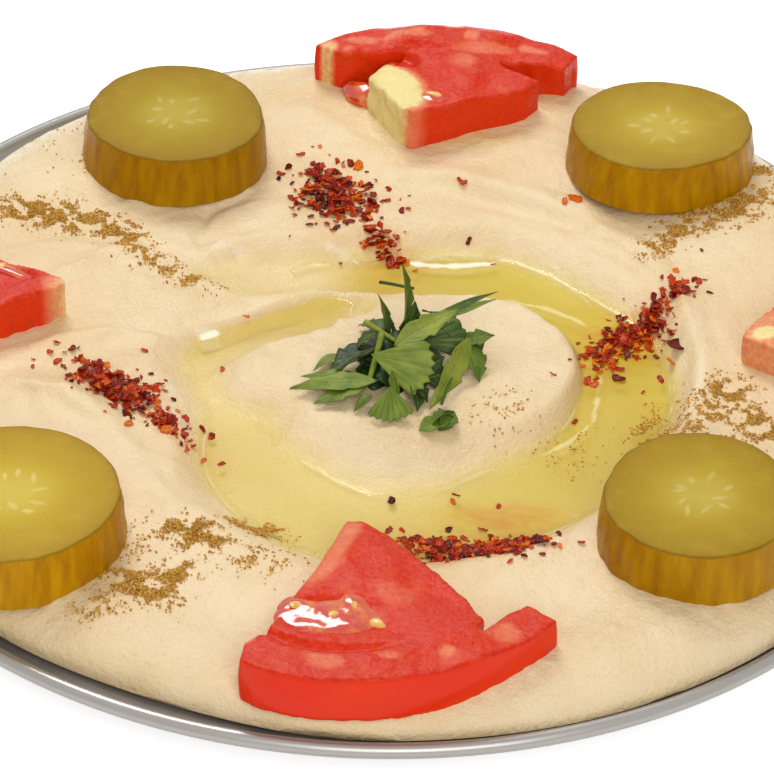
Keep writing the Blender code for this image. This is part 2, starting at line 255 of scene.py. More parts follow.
class Shader:
    """A material whose nodes are added one by one."""

    def __init__(self, name: str) -> None:
        """Starts an empty material."""
        self.material = bpy.data.materials.new(name)
        self.material.use_nodes = True
        self.tree = self.material.node_tree
        self.tree.nodes.clear()
        self.out = self.tree.nodes.new("ShaderNodeOutputMaterial")

    def node(self, kind: str, settings: dict | None = None, inputs: dict | list | None = None,
             output: int | str = 0) -> Value:
        """Adds a node.

        Args:
            kind: the node's type.
            settings: its properties, which are set first.
            inputs: what its sockets get, by name or place: values, or other nodes' outputs.
            output: which output to return.

        Returns:
            The output, wrapped.
        """
        made = self.tree.nodes.new(kind)
        for key, setting in (settings or {}).items():
            setattr(made, key, setting)
        given = enumerate(inputs) if isinstance(inputs, list) else (inputs or {}).items()
        for key, value in given:
            if isinstance(value, Value):
                self.tree.links.new(value.socket, made.inputs[key])
            else:
                made.inputs[key].default_value = value
        return Value(self, made.outputs[output])

    def place(self, scale: Sequence[float] = (1000, 1000, 1000)) -> Value:
        """Returns the place on the object in millimetres, or stretched as scale says."""
        where = self.node("ShaderNodeTexCoord", output="Object")
        return self.node("ShaderNodeMapping", inputs={"Vector": where, "Scale": scale})

    def noise(self, place: Value, size: float, detail: float = 3.0, rough: float = 0.55,
              warp: float = 0.0) -> Value:
        """Returns noise of 0 to 1 whose grains are about size across."""
        sockets = {"Vector": place, "Scale": 1 / size, "Detail": detail, "Roughness": rough,
                   "Distortion": warp}
        return self.node("ShaderNodeTexNoise", inputs=sockets)

    def cells(self, place: Value, size: float) -> Value:
        """Returns the distance from the middle of cells that are about size across."""
        sockets = {"Vector": place, "Scale": 1 / size}
        return self.node("ShaderNodeTexVoronoi", inputs=sockets, output="Distance")

    def attribute(self, name: str) -> Value:
        """Returns a number stored on the mesh."""
        return self.node("ShaderNodeAttribute", {"attribute_name": name}, output="Fac")

    def ramp(self, value: Value, stops: Sequence[tuple[float, Colour]]) -> Value:
        """Returns the colour of a ramp at value."""
        made = self.node("ShaderNodeValToRGB", inputs=[value])
        ramp = made.socket.node.color_ramp
        while len(ramp.elements) < len(stops):
            ramp.elements.new(1.0)
        for element, (position, colour) in zip(ramp.elements, stops):
            element.position = position
            element.color = (*colour, 1)
        return made

    def mix(self, first: "Value | Colour", second: "Value | Colour", share: "Value | float") -> Value:
        """Returns two colours mixed, the second by its share."""
        colours = [value if isinstance(value, Value) else (*value, 1) for value in (first, second)]
        sockets = {0: share, 6: colours[0], 7: colours[1]}
        return self.node("ShaderNodeMix", {"data_type": "RGBA"}, sockets, 2)

    def bump(self, height: Value, depth: float) -> Value:
        """Returns a normal for a relief whose height of 1 is depth millimetres."""
        sockets = {"Height": height, "Distance": depth * MM, "Strength": 1.0}
        return self.node("ShaderNodeBump", inputs=sockets)

    def surface(self, **sockets: "Value | float | Colour") -> bpy.types.Material:
        """Ends the material in a Principled shader.

        Args:
            sockets: its sockets, with _ for a space in their names.

        Returns:
            The material.
        """
        given = {}
        for key, value in sockets.items():
            is_colour = isinstance(value, tuple) and len(value) == 3
            given[key.replace("_", " ")] = (*value, 1) if is_colour else value
        shader = self.node("ShaderNodeBsdfPrincipled", inputs=given)
        self.tree.links.new(shader.socket, self.out.inputs["Surface"])
        return self.material


@dataclass(frozen=True)
class SteelFinish:
    """Turned stainless steel with faint brushed rings, and a painted highlight along the rolled rim."""

    tint: Colour = srgb(158, 154, 150)
    worn: Colour = srgb(104, 100, 96)
    bright: Colour = srgb(162, 158, 152)
    ring_width: float = 0.5
    smear_width: float = 14.0
    rim: tuple[float, float] = (106.6, 107.4)
    relief: float = 0.02

    def material(self) -> bpy.types.Material:
        """Returns the steel."""
        shader = Shader("steel")
        where = shader.node("ShaderNodeTexCoord", output="Object")
        level = (1 / MM, 1 / MM, 0)
        flat = shader.node("ShaderNodeVectorMath", {"operation": "MULTIPLY"}, [where, level])
        radius = shader.node("ShaderNodeVectorMath", {"operation": "LENGTH"}, [flat], "Value")
        ring_place = shader.node("ShaderNodeCombineXYZ", inputs=[radius])
        rings = shader.noise(ring_place, self.ring_width, 2.0)
        smears = shader.noise(shader.place(), self.smear_width, 3.0)
        wear = (smears * 0.5 + rings * 0.5).above(0.42, 0.62)
        colour = shader.mix(self.tint, self.worn, wear * 0.6)
        normal = shader.bump(rings, self.relief)
        # Painted highlight: the rolled rim is drawn in a lighter, unworn colour.
        on_rim = radius.above(*self.rim)
        colour = shader.mix(colour, self.bright, on_rim)
        rough = rings * 0.12 + smears * 0.14 + 0.38 - on_rim * 0.22
        return shader.surface(Base_Color=colour, Metallic=0.5, Roughness=rough, Normal=normal)


@dataclass(frozen=True)
class HummusFinish:
    """Moist chickpea paste, stained by the oil and spices on it, with painted highlights where the oil's
    edges catch the lamp.
    """

    pale: Colour = srgb(240, 216, 174)
    deep: Colour = srgb(230, 201, 150)
    oiled: Colour = srgb(230, 208, 112)
    chilli: Colour = srgb(220, 124, 34)
    cumin: Colour = srgb(198, 150, 80)
    fleck: Colour = srgb(214, 188, 146)
    speck: Colour = srgb(196, 165, 118)
    shine: Colour = srgb(255, 252, 240)
    relief: float = 0.46

    def material(self) -> bpy.types.Material:
        """Returns the paste. The mesh stores how stained each place is, and the painted highlights."""
        shader = Shader("hummus")
        place = shader.place()
        broad = shader.noise(place, 22.0, 3.0)
        fine = shader.noise(place, 0.9, 4.0, 0.65)
        grain = shader.noise(place, 0.28, 2.0, 0.6)
        lumps = shader.noise(place, 2.2, 3.0, 0.6, 0.8)
        wet = (shader.attribute("wet") + (broad - 0.5) * 0.5).clamped()
        colour = shader.mix(self.pale, self.deep, broad.above(0.3, 0.75))
        colour = shader.mix(colour, self.fleck, fine.above(0.56, 0.8) * 0.22)
        specks = shader.cells(place, 2.4)
        colour = shader.mix(colour, self.speck, (1.0 - specks.above(0.03, 0.1)) * 0.35)
        colour = shader.mix(colour, self.oiled, shader.attribute("oiled") * 0.9)
        patchy = shader.noise(place, 1.3, 3.0).above(0.32, 0.68)
        dusty = (shader.attribute("cumin") * (patchy * 0.7 + 0.3)).clamped()
        colour = shader.mix(colour, self.cumin, dusty)
        blotch = shader.noise(place, 2.6, 3.0, 0.6).above(0.35, 0.7)
        reddened = (shader.attribute("chilli") * (blotch + 0.1)).clamped()
        colour = shader.mix(colour, self.chilli, reddened * 0.85)
        # Painted highlights: near-white strips mixed into the colour stand in for the lamp's reflection
        # on the oil's wet edges.
        glint = shader.attribute("glint").clamped()
        colour = shader.mix(colour, self.shine, glint)
        relief = fine * (wet * 0.5 + 0.6) + grain * 0.2 + lumps * 0.6
        normal = shader.bump(relief, self.relief)
        rough = 0.42 - fine * 0.14 - wet * 0.22 - glint * 0.1 + dusty * 0.2
        return shader.surface(Base_Color=colour, Roughness=rough, Normal=normal,
                              Specular_IOR_Level=0.4)


@dataclass(frozen=True)
class OilFinish:
    """A film of yellow-green oil, deeper in colour where it is deeper."""

    shallow: Colour = srgb(236, 216, 98)
    deep: Colour = srgb(226, 200, 26)
    stained: Colour = srgb(218, 122, 6)
    shine: Colour = srgb(255, 250, 226)
    thickest: float = 0.92
    relief: float = 0.5

    def material(self) -> bpy.types.Material:
        """Returns the oil. The mesh stores its depth, its painted highlight lines and its stains."""
        shader = Shader("olive_oil")
        depth = shader.attribute("depth")
        glint = shader.attribute("glint")
        stain = shader.attribute("stain").clamped()
        swirl = shader.noise(shader.place((400, 1000, 1000)), 9.0, 2.0, 0.5, 1.5)
        colour = shader.mix(self.shallow, self.deep, (depth * (swirl * 0.6 + 0.7)).clamped())
        patchy = shader.noise(shader.place((500, 1000, 1000)), 4.0, 4.0, 0.6, 0.8)
        patchy = patchy.above(0.3, 0.65)
        colour = shader.mix(colour, self.stained, (stain * (patchy * 0.9 + 0.2)).clamped())
        # Painted highlights: the bright lines are mixed towards near-white and made more opaque,
        # standing in for reflections and caustics.
        colour = shader.mix(colour, self.shine, glint.clamped())
        cover = (depth * 0.58 + stain * 0.5 + glint * 0.9).clamped() * self.thickest
        ripple = shader.bump(shader.noise(shader.place(), 16.0, 1.0), self.relief)
        return shader.surface(Base_Color=colour, Roughness=0.08, Alpha=cover, Normal=ripple,
                              Specular_IOR_Level=0.4)


@dataclass(frozen=True)
class PickleFinish:
    """A wet gherkin slice: pale seedy middle, olive flesh and a thin brown-green skin."""

    name: str = "pickle"
    light: float = 1.0
    relief: float = 0.2

    def lit(self, red: int, green: int, blue: int) -> Colour:
        """Returns a colour of this slice, made lighter or darker with it."""
        return tuple(part * self.light for part in srgb(red, green, blue))

    def material(self) -> bpy.types.Material:
        """Returns the slice. The mesh stores reach, skin, seed and core."""
        shader = Shader(self.name)
        place = shader.place()
        reach, skin = shader.attribute("reach"), shader.attribute("skin")
        seed, core = shader.attribute("seed"), shader.attribute("core")
        cloudy = shader.noise(place, 5.0, 4.0, 0.6)
        flesh = shader.ramp(reach, [
            (0.0, self.lit(202, 174, 54)), (0.38, self.lit(192, 162, 38)),
            (0.62, self.lit(182, 148, 24)), (0.86, self.lit(174, 138, 16)),
            (0.96, self.lit(166, 130, 12)), (1.0, self.lit(140, 102, 0))])
        flesh = shader.mix(flesh, self.lit(204, 176, 50), cloudy.above(0.45, 0.8) * 0.35)
        flesh = shader.mix(flesh, self.lit(210, 186, 84), core * 0.6)
        flesh = shader.mix(flesh, self.lit(232, 214, 136), seed * 0.5)
        streaks = shader.noise(shader.place((700, 700, 130)), 1.6, 4.0, 0.6)
        side = shader.ramp(streaks, [
            (0.25, self.lit(156, 102, 0)), (0.45, self.lit(176, 122, 0)),
            (0.6, self.lit(188, 136, 0)), (0.8, self.lit(202, 154, 4))])
        colour = shader.mix(flesh, side, skin)
        pores = shader.noise(place, 0.45, 4.0, 0.7)
        # Pale dots on the pores are painted sparkle highlights; the same noise also gives the pores'
        # real bumps and roughness.
        colour = shader.mix(colour, self.lit(236, 222, 150), pores.above(0.64, 0.74) * 0.35)
        normal = shader.bump(pores * 0.5 + cloudy * 0.5 + streaks * skin * 0.3, self.relief)
        return shader.surface(Base_Color=colour, Roughness=pores * 0.16 + 0.2, Normal=normal,
                              Specular_IOR_Level=0.09)


@dataclass(frozen=True)
class TomatoFinish:
    """Wet tomato: blotched flesh inside, a smooth orange-red skin outside."""

    flesh: tuple[Colour, Colour] = (srgb(206, 30, 2), srgb(220, 64, 18))
    blotched: Colour = srgb(228, 100, 50)
    cut: Colour = srgb(226, 58, 14)
    hollow: Colour = srgb(192, 30, 2)
    pink: Colour = srgb(232, 126, 86)
    cream: Colour = srgb(240, 220, 148)
    green: Colour = srgb(208, 200, 84)
    peel: tuple[Colour, Colour] = (srgb(222, 34, 4), srgb(230, 56, 8))
    relief: float = 0.24

    def material(self) -> bpy.types.Material:
        """Returns the tomato. The mesh stores skin, gel, pale and face."""
        shader = Shader("tomato")
        place = shader.place()
        skin, gel, pale, face = map(shader.attribute, ("skin", "gel", "pale", "face"))
        blotch = shader.noise(place, 7.0, 3.0, 0.55, 0.6)
        fibre = shader.noise(place, 1.1, 4.0, 0.65)
        flesh = shader.mix(*self.flesh, fibre.above(0.35, 0.7))
        flesh = shader.mix(flesh, self.blotched, blotch.above(0.56, 0.8) * 0.45)
        flesh = shader.mix(flesh, self.cut, face * 0.7)
        flesh = shader.mix(flesh, self.hollow, gel * 0.75)
        paleness = (pale * (fibre * 0.9 + 0.55)).clamped()
        flesh = shader.mix(flesh, self.pink, paleness.above(0.0, 0.5))
        flesh = shader.mix(flesh, self.cream, paleness.above(0.45, 0.95))
        green = shader.noise(place, 6.0, 2.0).above(0.5, 0.7) * paleness.above(0.5, 0.9)
        flesh = shader.mix(flesh, self.green, green * 0.5)
        peel = shader.mix(*self.peel, shader.noise(place, 16.0, 2.0))
        colour = shader.mix(flesh, peel, skin)
        normal = shader.bump(fibre * (1.0 - skin * 0.9) * (1.0 - gel * 0.8), self.relief)
        rough = (1.0 - skin) * (fibre * 0.16) + 0.2 - gel * 0.1
        return shader.surface(Base_Color=colour, Roughness=rough, Normal=normal,
                              Specular_IOR_Level=0.16)


@dataclass(frozen=True)
class GelFinish:
    """Clear red-orange jelly round the tomato's seeds, brightly wet."""

    red: Colour = srgb(204, 52, 22)
    orange: Colour = srgb(226, 116, 24)
    relief: float = 0.6

    def material(self) -> bpy.types.Material:
        """Returns the jelly."""
        shader = Shader("tomato_gel")
        cloudy = shader.noise(shader.place(), 2.5, 3.0)
        colour = shader.mix(self.red, self.orange, cloudy.above(0.42, 0.68))
        normal = shader.bump(shader.noise(shader.place(), 7.0, 2.0), self.relief)
        return shader.surface(Base_Color=colour, Roughness=cloudy * 0.04 + 0.08, Normal=normal,
                              Specular_IOR_Level=0.9)


@dataclass(frozen=True)
class SeedFinish:
    """Pale tomato seeds."""

    pale: Colour = srgb(236, 190, 104)
    deep: Colour = srgb(216, 150, 60)
    relief: float = 0.1

    def material(self) -> bpy.types.Material:
        """Returns the seeds."""
        shader = Shader("seed")
        cloudy = shader.noise(shader.place(), 1.0, 3.0)
        colour = shader.mix(self.pale, self.deep, cloudy.above(0.4, 0.7))
        normal = shader.bump(cloudy, self.relief)
        return shader.surface(Base_Color=colour, Roughness=cloudy * 0.1 + 0.15, Normal=normal)


@dataclass(frozen=True)
class LeafFinish:
    """Parsley leaves with paler veins."""

    dark: Colour = srgb(44, 74, 14)
    veined: Colour = srgb(158, 168, 78)
    relief: float = 0.14

    def material(self) -> bpy.types.Material:
        """Returns the leaf. The mesh stores vein and tone."""
        shader = Shader("parsley")
        place = shader.place()
        tone, vein = shader.attribute("tone"), shader.attribute("vein")
        mottle = shader.noise(place, 1.6, 3.0)
        green = shader.ramp(tone, [
            (0.0, srgb(16, 38, 8)), (0.35, srgb(50, 78, 14)),
            (0.7, srgb(96, 118, 30)), (1.0, srgb(142, 152, 52))])
        green = shader.mix(green, self.dark, mottle.above(0.45, 0.7) * 0.3)
        green = shader.mix(green, self.veined, vein * 0.35)
        fine = shader.noise(place, 0.25, 3.0, 0.6)
        normal = shader.bump(fine * 0.35 + vein * -0.8, self.relief)
        return shader.surface(Base_Color=green, Roughness=mottle * 0.2 + 0.28, Normal=normal,
                              Specular_IOR_Level=0.22)


@dataclass(frozen=True)
class ChilliFinish:
    """Oily dried chilli, from nearly black to orange red."""

    relief: float = 0.2

    def material(self) -> bpy.types.Material:
        """Returns the chilli. The mesh stores each flake's tone."""
        shader = Shader("chilli")
        mottle = shader.noise(shader.place(), 0.7, 3.0)
        tone = (shader.attribute("tone") + (mottle - 0.5) * 0.5).clamped()
        colour = shader.ramp(tone, [
            (0.0, srgb(36, 8, 0)), (0.12, srgb(100, 14, 0)), (0.45, srgb(152, 28, 0)),
            (0.75, srgb(200, 62, 2)), (1.0, srgb(232, 126, 14))])
        normal = shader.bump(mottle, self.relief)
        return shader.surface(Base_Color=colour, Roughness=mottle * 0.2 + 0.14, Normal=normal,
                              Specular_IOR_Level=0.14)


@dataclass(frozen=True)
class CuminFinish:
    """Dry ground cumin."""

    def material(self) -> bpy.types.Material:
        """Returns the spice. The mesh stores each grain's tone."""
        shader = Shader("cumin")
        mottle = shader.noise(shader.place(), 0.5, 2.0)
        tone = (shader.attribute("tone") + (mottle - 0.5) * 0.4).clamped()
        colour = shader.ramp(tone, [
            (0.0, srgb(146, 98, 26)), (0.3, srgb(178, 128, 44)),
            (0.65, srgb(202, 154, 66)), (1.0, srgb(226, 186, 110))])
        rough = mottle * 0.3 + 0.5
        return shader.surface(Base_Color=colour, Roughness=rough, Specular_IOR_Level=0.15)


# ---------------------------------------------------------------------------------- piece making


def store(mesh: bpy.types.Mesh, name: str, values: Array) -> None:
    """Stores one number for each vertex.

    Args:
        mesh: the mesh.
        name: the attribute's name, which its material reads.
        values: the numbers.
    """
    layer = mesh.attributes.new(name, "FLOAT", "POINT")
    layer.data.foreach_set("value", np.ascontiguousarray(values, dtype=np.float32))


def corners_of(mesh: bpy.types.Mesh) -> Array:
    """Returns the vertices' coordinates, one row each."""
    flat = np.empty(len(mesh.vertices) * 3, np.float32)
    mesh.vertices.foreach_get("co", flat)
    return flat.reshape(-1, 3).astype(float)


def put_places(mesh: bpy.types.Mesh, places: Array) -> None:
    """Moves the vertices to places given in millimetres."""
    mesh.vertices.foreach_set("co", np.ascontiguousarray(places * MM, dtype=np.float32).ravel())
    mesh.update()


@dataclass
class Piece:
    """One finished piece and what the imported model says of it."""

    name: str
    slot: str
    stands_for: tuple[str, ...]
    material: bpy.types.Material

    def finish(self, mesh: bpy.types.Mesh, smooth: bool = True) -> bpy.types.Object:
        """Makes the object, dresses it and ties it to the frame.

        Args:
            mesh: its mesh, in place.
            smooth: whether its faces are shaded smooth.

        Returns:
            The object.
        """
        mesh.name = self.name
        mesh.shade_smooth() if smooth else mesh.shade_flat()
        mesh.materials.clear()
        mesh.materials.append(self.material)
        made = bpy.data.objects.new(self.name, mesh)
        bpy.context.scene.collection.objects.link(made)
        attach(made, "root")
        if self.stands_for:
            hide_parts(*self.stands_for)
        mesh.calc_loop_triangles()
        LOG.info("%s: %d triangles", self.name, len(mesh.loop_triangles))
        return made


def lathe(profile: Iterable[tuple[float, float]], steps: int, merge: float) -> bmesh.types.BMesh:
    """Turns a profile once round Z.

    Args:
        profile: its radii and heights, from the middle of the top to the middle of the base.
        steps: how many faces go round.
        merge: how near points have to be to become one.

    Returns:
        The closed shape.
    """
    bm = bmesh.new()
    corners = [bm.verts.new((radius, 0, height)) for radius, height in profile]
    edges = [bm.edges.new(pair) for pair in zip(corners[:-1], corners[1:])]
    bmesh.ops.spin(bm, geom=corners + edges, cent=(0, 0, 0), axis=(0, 0, 1), angle=TAU,
                   steps=steps, use_merge=True)
    bmesh.ops.remove_doubles(bm, verts=bm.verts[:], dist=merge)
    return bm


def mesh_from(bm: bmesh.types.BMesh, name: str) -> bpy.types.Mesh:
    """Returns a mesh made of a bmesh, with its faces turned outwards, and frees the bmesh."""
    bmesh.ops.recalc_face_normals(bm, faces=bm.faces[:])
    mesh = bpy.data.meshes.new(name)
    bm.to_mesh(mesh)
    bm.free()
    return mesh


def joined(bm: bmesh.types.BMesh, name: str, turns: Array, tones: Array) -> bpy.types.Mesh:
    """Repeats a small shape many times in one mesh.

    Args:
        bm: the shape, in millimetres, which is used up.
        name: the mesh's name.
        turns: a 4 by 4 matrix for each copy.
        tones: a number for each copy, stored as its tone.

    Returns:
        The mesh, in metres.
    """
    bmesh.ops.triangulate(bm, faces=bm.faces[:])
    bmesh.ops.recalc_face_normals(bm, faces=bm.faces[:])
    bm.verts.ensure_lookup_table()
    corners = np.array([(*vertex.co, 1.0) for vertex in bm.verts])
    faces = np.array([[vertex.index for vertex in face.verts] for face in bm.faces])
    bm.free()
    count = len(turns)
    places = np.einsum("nij,vj->nvi", turns, corners)[..., :3].reshape(-1, 3)
    every = (faces[None] + (np.arange(count) * len(corners))[:, None, None]).reshape(-1, 3)
    mesh = bpy.data.meshes.new(name)
    mesh.vertices.add(len(places))
    mesh.loops.add(every.size)
    mesh.polygons.add(len(every))
    mesh.loops.foreach_set("vertex_index", every.ravel().astype(np.int32))
    mesh.polygons.foreach_set("loop_start", np.arange(0, every.size, 3, dtype=np.int32))
    mesh.update(calc_edges=True)
    put_places(mesh, places)
    store(mesh, "tone", np.repeat(tones, len(corners)))
    return mesh


def turned_places(where: Array, tilt: Array, heading: Array, size: Array) -> Array:
    """Matrices that place many small things.

    Args:
        where: their places in mm, one row each.
        tilt: how far each leans, in radians.
        heading: each one's heading, in radians, which also decides the way it leans.
        size: each one's size along X, Y and Z.

    Returns:
        A 4 by 4 matrix for each.
    """
    turns = np.zeros((len(where), 4, 4))
    turns[:, 3, 3] = 1
    turns[:, :3, 3] = where
    lean = heading * 2.7 + 1.0
    spin = np.zeros((len(where), 3, 3))
    spin[:, 0, 0] = spin[:, 1, 1] = np.cos(heading)
    spin[:, 1, 0] = np.sin(heading)
    spin[:, 0, 1] = -spin[:, 1, 0]
    spin[:, 2, 2] = 1
    cross = np.zeros((len(where), 3, 3))
    cross[:, 0, 2], cross[:, 1, 2] = np.sin(lean), -np.cos(lean)
    cross[:, 2, :2] = -cross[:, :2, 2]
    sine, rest = np.sin(tilt)[:, None, None], (1 - np.cos(tilt))[:, None, None]
    leaning = np.eye(3) + sine * cross + rest * (cross @ cross)
    turns[:, :3, :3] = (leaning @ spin) * size[:, None, :]
    return turns


# ---------------------------------------------------------------------------------- the spread


@dataclass(frozen=True)
class Ridge:
    """A line that the spoon left, steep on its left and gentle on its right.

    A negative height makes a scored line or a shallow dip.
    """

    height: float
    left: float
    right: float
    line: Line
    taper: float = 0.22

    def rise(self, x: Array, y: Array) -> Array:
        """Returns the ridge's height at places in mm."""
        away, part = along_line(x, y, spread(self.line))
        width = np.where(away > 0, self.left, self.right)
        ends = smoothstep(part / self.taper) * smoothstep((1 - part) / self.taper)
        return self.height * ends * np.exp(-(away / width) ** 2)


@dataclass
class Relief:
    """The shape of the hummus: plate, plateau, spoon's groove, mound and ridges, in mm."""

    edge: Table = field(default_factory=lambda: {
        -107: 104.3, -97: 105.8, -80: 106.6, -50: 106.6, 0: 106, 45: 105, 90: 104, 135: 102.5,
        180: 102, 230: 104.6})
    crest: Table = field(default_factory=lambda: {
        -90: 18.6, -45: 19.6, 0: 19.8, 45: 22.3, 68: 22.6, 95: 20.8, 135: 20.6, 180: 19, 225: 19.4})
    groove_inner: Table = field(default_factory=lambda: {
        88: 13, 114: 12, 134: 13, 162: 16, 174: 21, 184: 27.5, 198: 32, 210: 31, 225: 28.5, 238: 32,
        250: 34.5, 262: 38.5, 284: 40.5, 304: 38.8, 326: 40.2, 342: 39.5, 360: 38.5, 378: 35.7,
        390: 32.2, 402: 27, 415: 22.5, 435: 20, 458: 21.5, 472: 24.5, 484: 27.5, 497: 30, 510: 33})
    groove_outer: Table = field(default_factory=lambda: {
        88: 15.8, 100: 18, 112: 21, 122: 22.6, 137: 23.6, 148: 26, 158: 28.3, 168: 33, 182: 38,
        199: 37.5, 210: 39, 218: 43, 228: 49, 236: 53, 246: 57, 258: 61, 284: 61.5, 298: 61.5,
        312: 61, 325: 60, 340: 58.8, 360: 56, 372: 52.5, 385: 48, 406: 43.4, 420: 40.2, 434: 36.5,
        446: 34, 460: 34, 475: 36, 491: 40, 510: 44})
    depth: Table = field(default_factory=lambda: {
        88: 0, 98: 1.6, 110: 4, 125: 5.2, 160: 5, 190: 4.6, 215: 4.9, 240: 5.5, 270: 5.8, 330: 5.8,
        400: 5.7, 430: 5.5, 447: 5, 462: 4.2, 480: 3.8, 496: 3.0, 510: 0})
    inner_bank: Table = field(default_factory=lambda: {
        88: 5, 120: 4, 150: 4, 175: 9, 200: 12, 225: 14, 250: 21, 295: 21, 325: 8, 380: 5, 450: 4,
        510: 4})
    outer_bank: Table = field(default_factory=lambda: {
        88: 5, 110: 3.6, 140: 3, 162: 4, 188: 11, 225: 12, 270: 13, 320: 9, 360: 11, 400: 13,
        450: 8, 510: 9})
    groove_span: tuple[float, float] = (88, 510)
    bank_share: float = 0.63
    level: float = 19.8
    mound: tuple[float, ...] = (5, -8, 18, 0.9)
    shoulder: float = 13.0
    flange: tuple[float, ...] = (92, 8.6, 0.127)
    ridges: tuple[Ridge, ...] = (
        Ridge(1.5, 4.5, 2.2, ((-3, 55), (11, 56.5), (20, 53.5), (33, 47.5), (42, 40.5), (49, 32))),
        Ridge(-0.8, 2.2, 3.0, ((4, 52), (20, 48.5), (34, 42.5), (44, 35))),
        Ridge(1.1, 2.0, 4.5, ((-52, 41), (-44, 49), (-34, 51), (-24, 48.5))),
        Ridge(-1.0, 1.4, 1.8, ((-24, 48), (-31, 45.5), (-35.4, 39), (-34.8, 33), (-32, 29))),
        Ridge(-0.8, 1.2, 1.6, ((-34, 28.5), (-29.5, 29.5), (-26.6, 34))),
        Ridge(0.7, 1.2, 2.2, ((1, 35.5), (11, 34.5), (24, 36))),
        Ridge(0.7, 1.0, 2.0, ((-14, 35), (-8, 33.2), (0, 34))),
        Ridge(1.2, 3.0, 6.0, ((-78, -10), (-60, -18), (-49, -31), (-42, -45), (-32, -54), (-20, -62))),
        Ridge(0.6, 1.0, 1.5, ((-72, -13), (-66, -17), (-60, -18.5), (-56, -18))),
        Ridge(1.0, 5.0, 1.8, ((62, 24), (57.5, 12), (57, -2), (58, -16), (60, -28))),
        Ridge(0.5, 1.2, 1.2, ((47, 37), (52, 33), (53, 28))),
        Ridge(0.6, 2.0, 2.0, ((-100, 28), (-84, 22), (-66, 30), (-50, 26))),
        Ridge(0.7, 3.5, 2.0, ((-96, -22), (-84, -12), (-70, -8), (-52, -2))),
        Ridge(-0.6, 2.0, 4.0, ((-60, -6), (-46, 2), (-34, 5.5))),
        Ridge(0.8, 3.0, 6.0, ((-20, 82), (0, 62), (8, 60))),
        Ridge(-2.7, 5.5, 5.5, ((-44, -2), (-33, 7), (-26, 13.5), (-19, 19), (-8.6, 22.5), (2, 22),
                               (10, 20))),
        Ridge(0.8, 1.2, 3.0, ((-73, -6), (-66, -3.5), (-57, 1.4), (-44, 1.4), (-36, 2.4), (-29, 6),
                              (-22, 12))),
        Ridge(0.9, 2.5, 4.0, ((-66, 15), (-62.7, 20), (-58.9, 22.5), (-53.3, 27.7), (-46, 29))),
        Ridge(0.8, 4.0, 1.6, ((-74, -16), (-65.5, -17.3), (-58.8, -21.1), (-50, -28))),
        Ridge(1.1, 3.5, 1.3, ((30, 40), (42.9, 36.6), (50, 31), (57, 19), (60.5, 4), (60, -8),
                              (57, -24))),
    )
    plateau: tuple[float, float] = (55, 35)
    lip: float = 0.8
    torn: Oval = (5, -30, 17, 9)

    def flange_height(self, radius: Array) -> Array:
        """Returns the height of the plate's flange."""
        start, height, slope = self.flange
        return height + (radius - start) * slope

    def groove(self, radius: Array, heading: Array) -> tuple[Array, Array]:
        """Works out the spoon's groove.

        Args:
            radius: distances from the middle, in mm.
            heading: headings, in radians.

        Returns:
            How deep the groove is, and the same as a share of its own full depth.
        """
        deepest = np.zeros(np.shape(radius))
        share = np.zeros(np.shape(radius))
        for turn in (0, 360, 720):
            around = np.degrees(heading) % 360 + turn
            inner = radius - curve_through(self.groove_inner, around)
            outer = curve_through(self.groove_outer, around) - radius
            from_inner = inner / curve_through(self.inner_bank, around) + self.bank_share
            from_outer = outer / curve_through(self.outer_bank, around) + self.bank_share
            trough = smoothstep(from_inner) * smoothstep(from_outer)
            trough = trough * ((around >= self.groove_span[0]) & (around <= self.groove_span[1]))
            here = trough * curve_through(self.depth, around)
            share = np.where(here > deepest, trough, share)
            deepest = np.maximum(deepest, here)
        return deepest, share

    def strokes(self, x: Array, y: Array, radius: Array, heading: Array) -> Array:
        """Returns the fine furrows that follow the spoon round the plate."""
        turned = radius - heading / TAU * 14 + waves(x, y, 40, 3) * 5
        furrows = waves(turned, heading * 12, 5.2, 11) * 0.17
        furrows = furrows + waves(turned, heading * 9, 2.3, 12) * 0.06
        return furrows * (0.35 + 0.65 * smoothstep(waves(x, y, 30, 5) + 0.5))

    def height(self, x: Array, y: Array) -> Array:
        """Works out the spread's surface.

        Args:
            x: places, in mm.
            y: places, in mm.

        Returns:
            The height at each place, in mm.
        """
        radius, heading = np.hypot(x, y), np.arctan2(y, x)
        edge = curve_around(self.edge, heading)
        crest = curve_around(self.crest, heading)
        groove = self.groove(radius, heading)[0]
        starts, runs = self.plateau
        outwards = smoothstep((radius - starts) / runs)
        middle_x, middle_y, width, rise = self.mound
        to_mound = np.hypot(x - middle_x, y - middle_y) / width
        height = self.level + rise * np.exp(-to_mound ** 2 / 2)
        height = height + (crest - height) * outwards - groove
        for ridge in self.ridges:
            height = height + ridge.rise(x, y)
        calm = 1 - 0.75 * smoothstep((groove - 2) / 2)
        height = height + calm * (waves(x, y, 26, 1) * 0.30 + waves(x, y, 9, 2) * 0.14)
        height = height + calm * self.strokes(x, y, radius, heading)
        height = height + calm * waves(x, y, 3.2, 4) * 0.07
        rough = smoothstep((radius - 86) / 14) + self.craggy(x, y)
        height = height + rough * (waves(x, y, 2.8, 6, 1.6) * 0.14 + waves(x, y, 1.7, 7) * 0.08)
        inwards = np.clip((edge + waves(x, y, 30, 8) * 0.5 - radius) / self.shoulder, 0, 1)
        rounded = np.sqrt(np.clip(1 - (1 - inwards) ** 2, 0, 1))
        foot = self.flange_height(radius) + self.lip
        return foot + (height - foot) * rounded

    def craggy(self, x: Array, y: Array) -> Array:
        """Returns how torn the surface is on the mound's front, 0 to 1."""
        return oval(x, y, self.torn, 1.4)


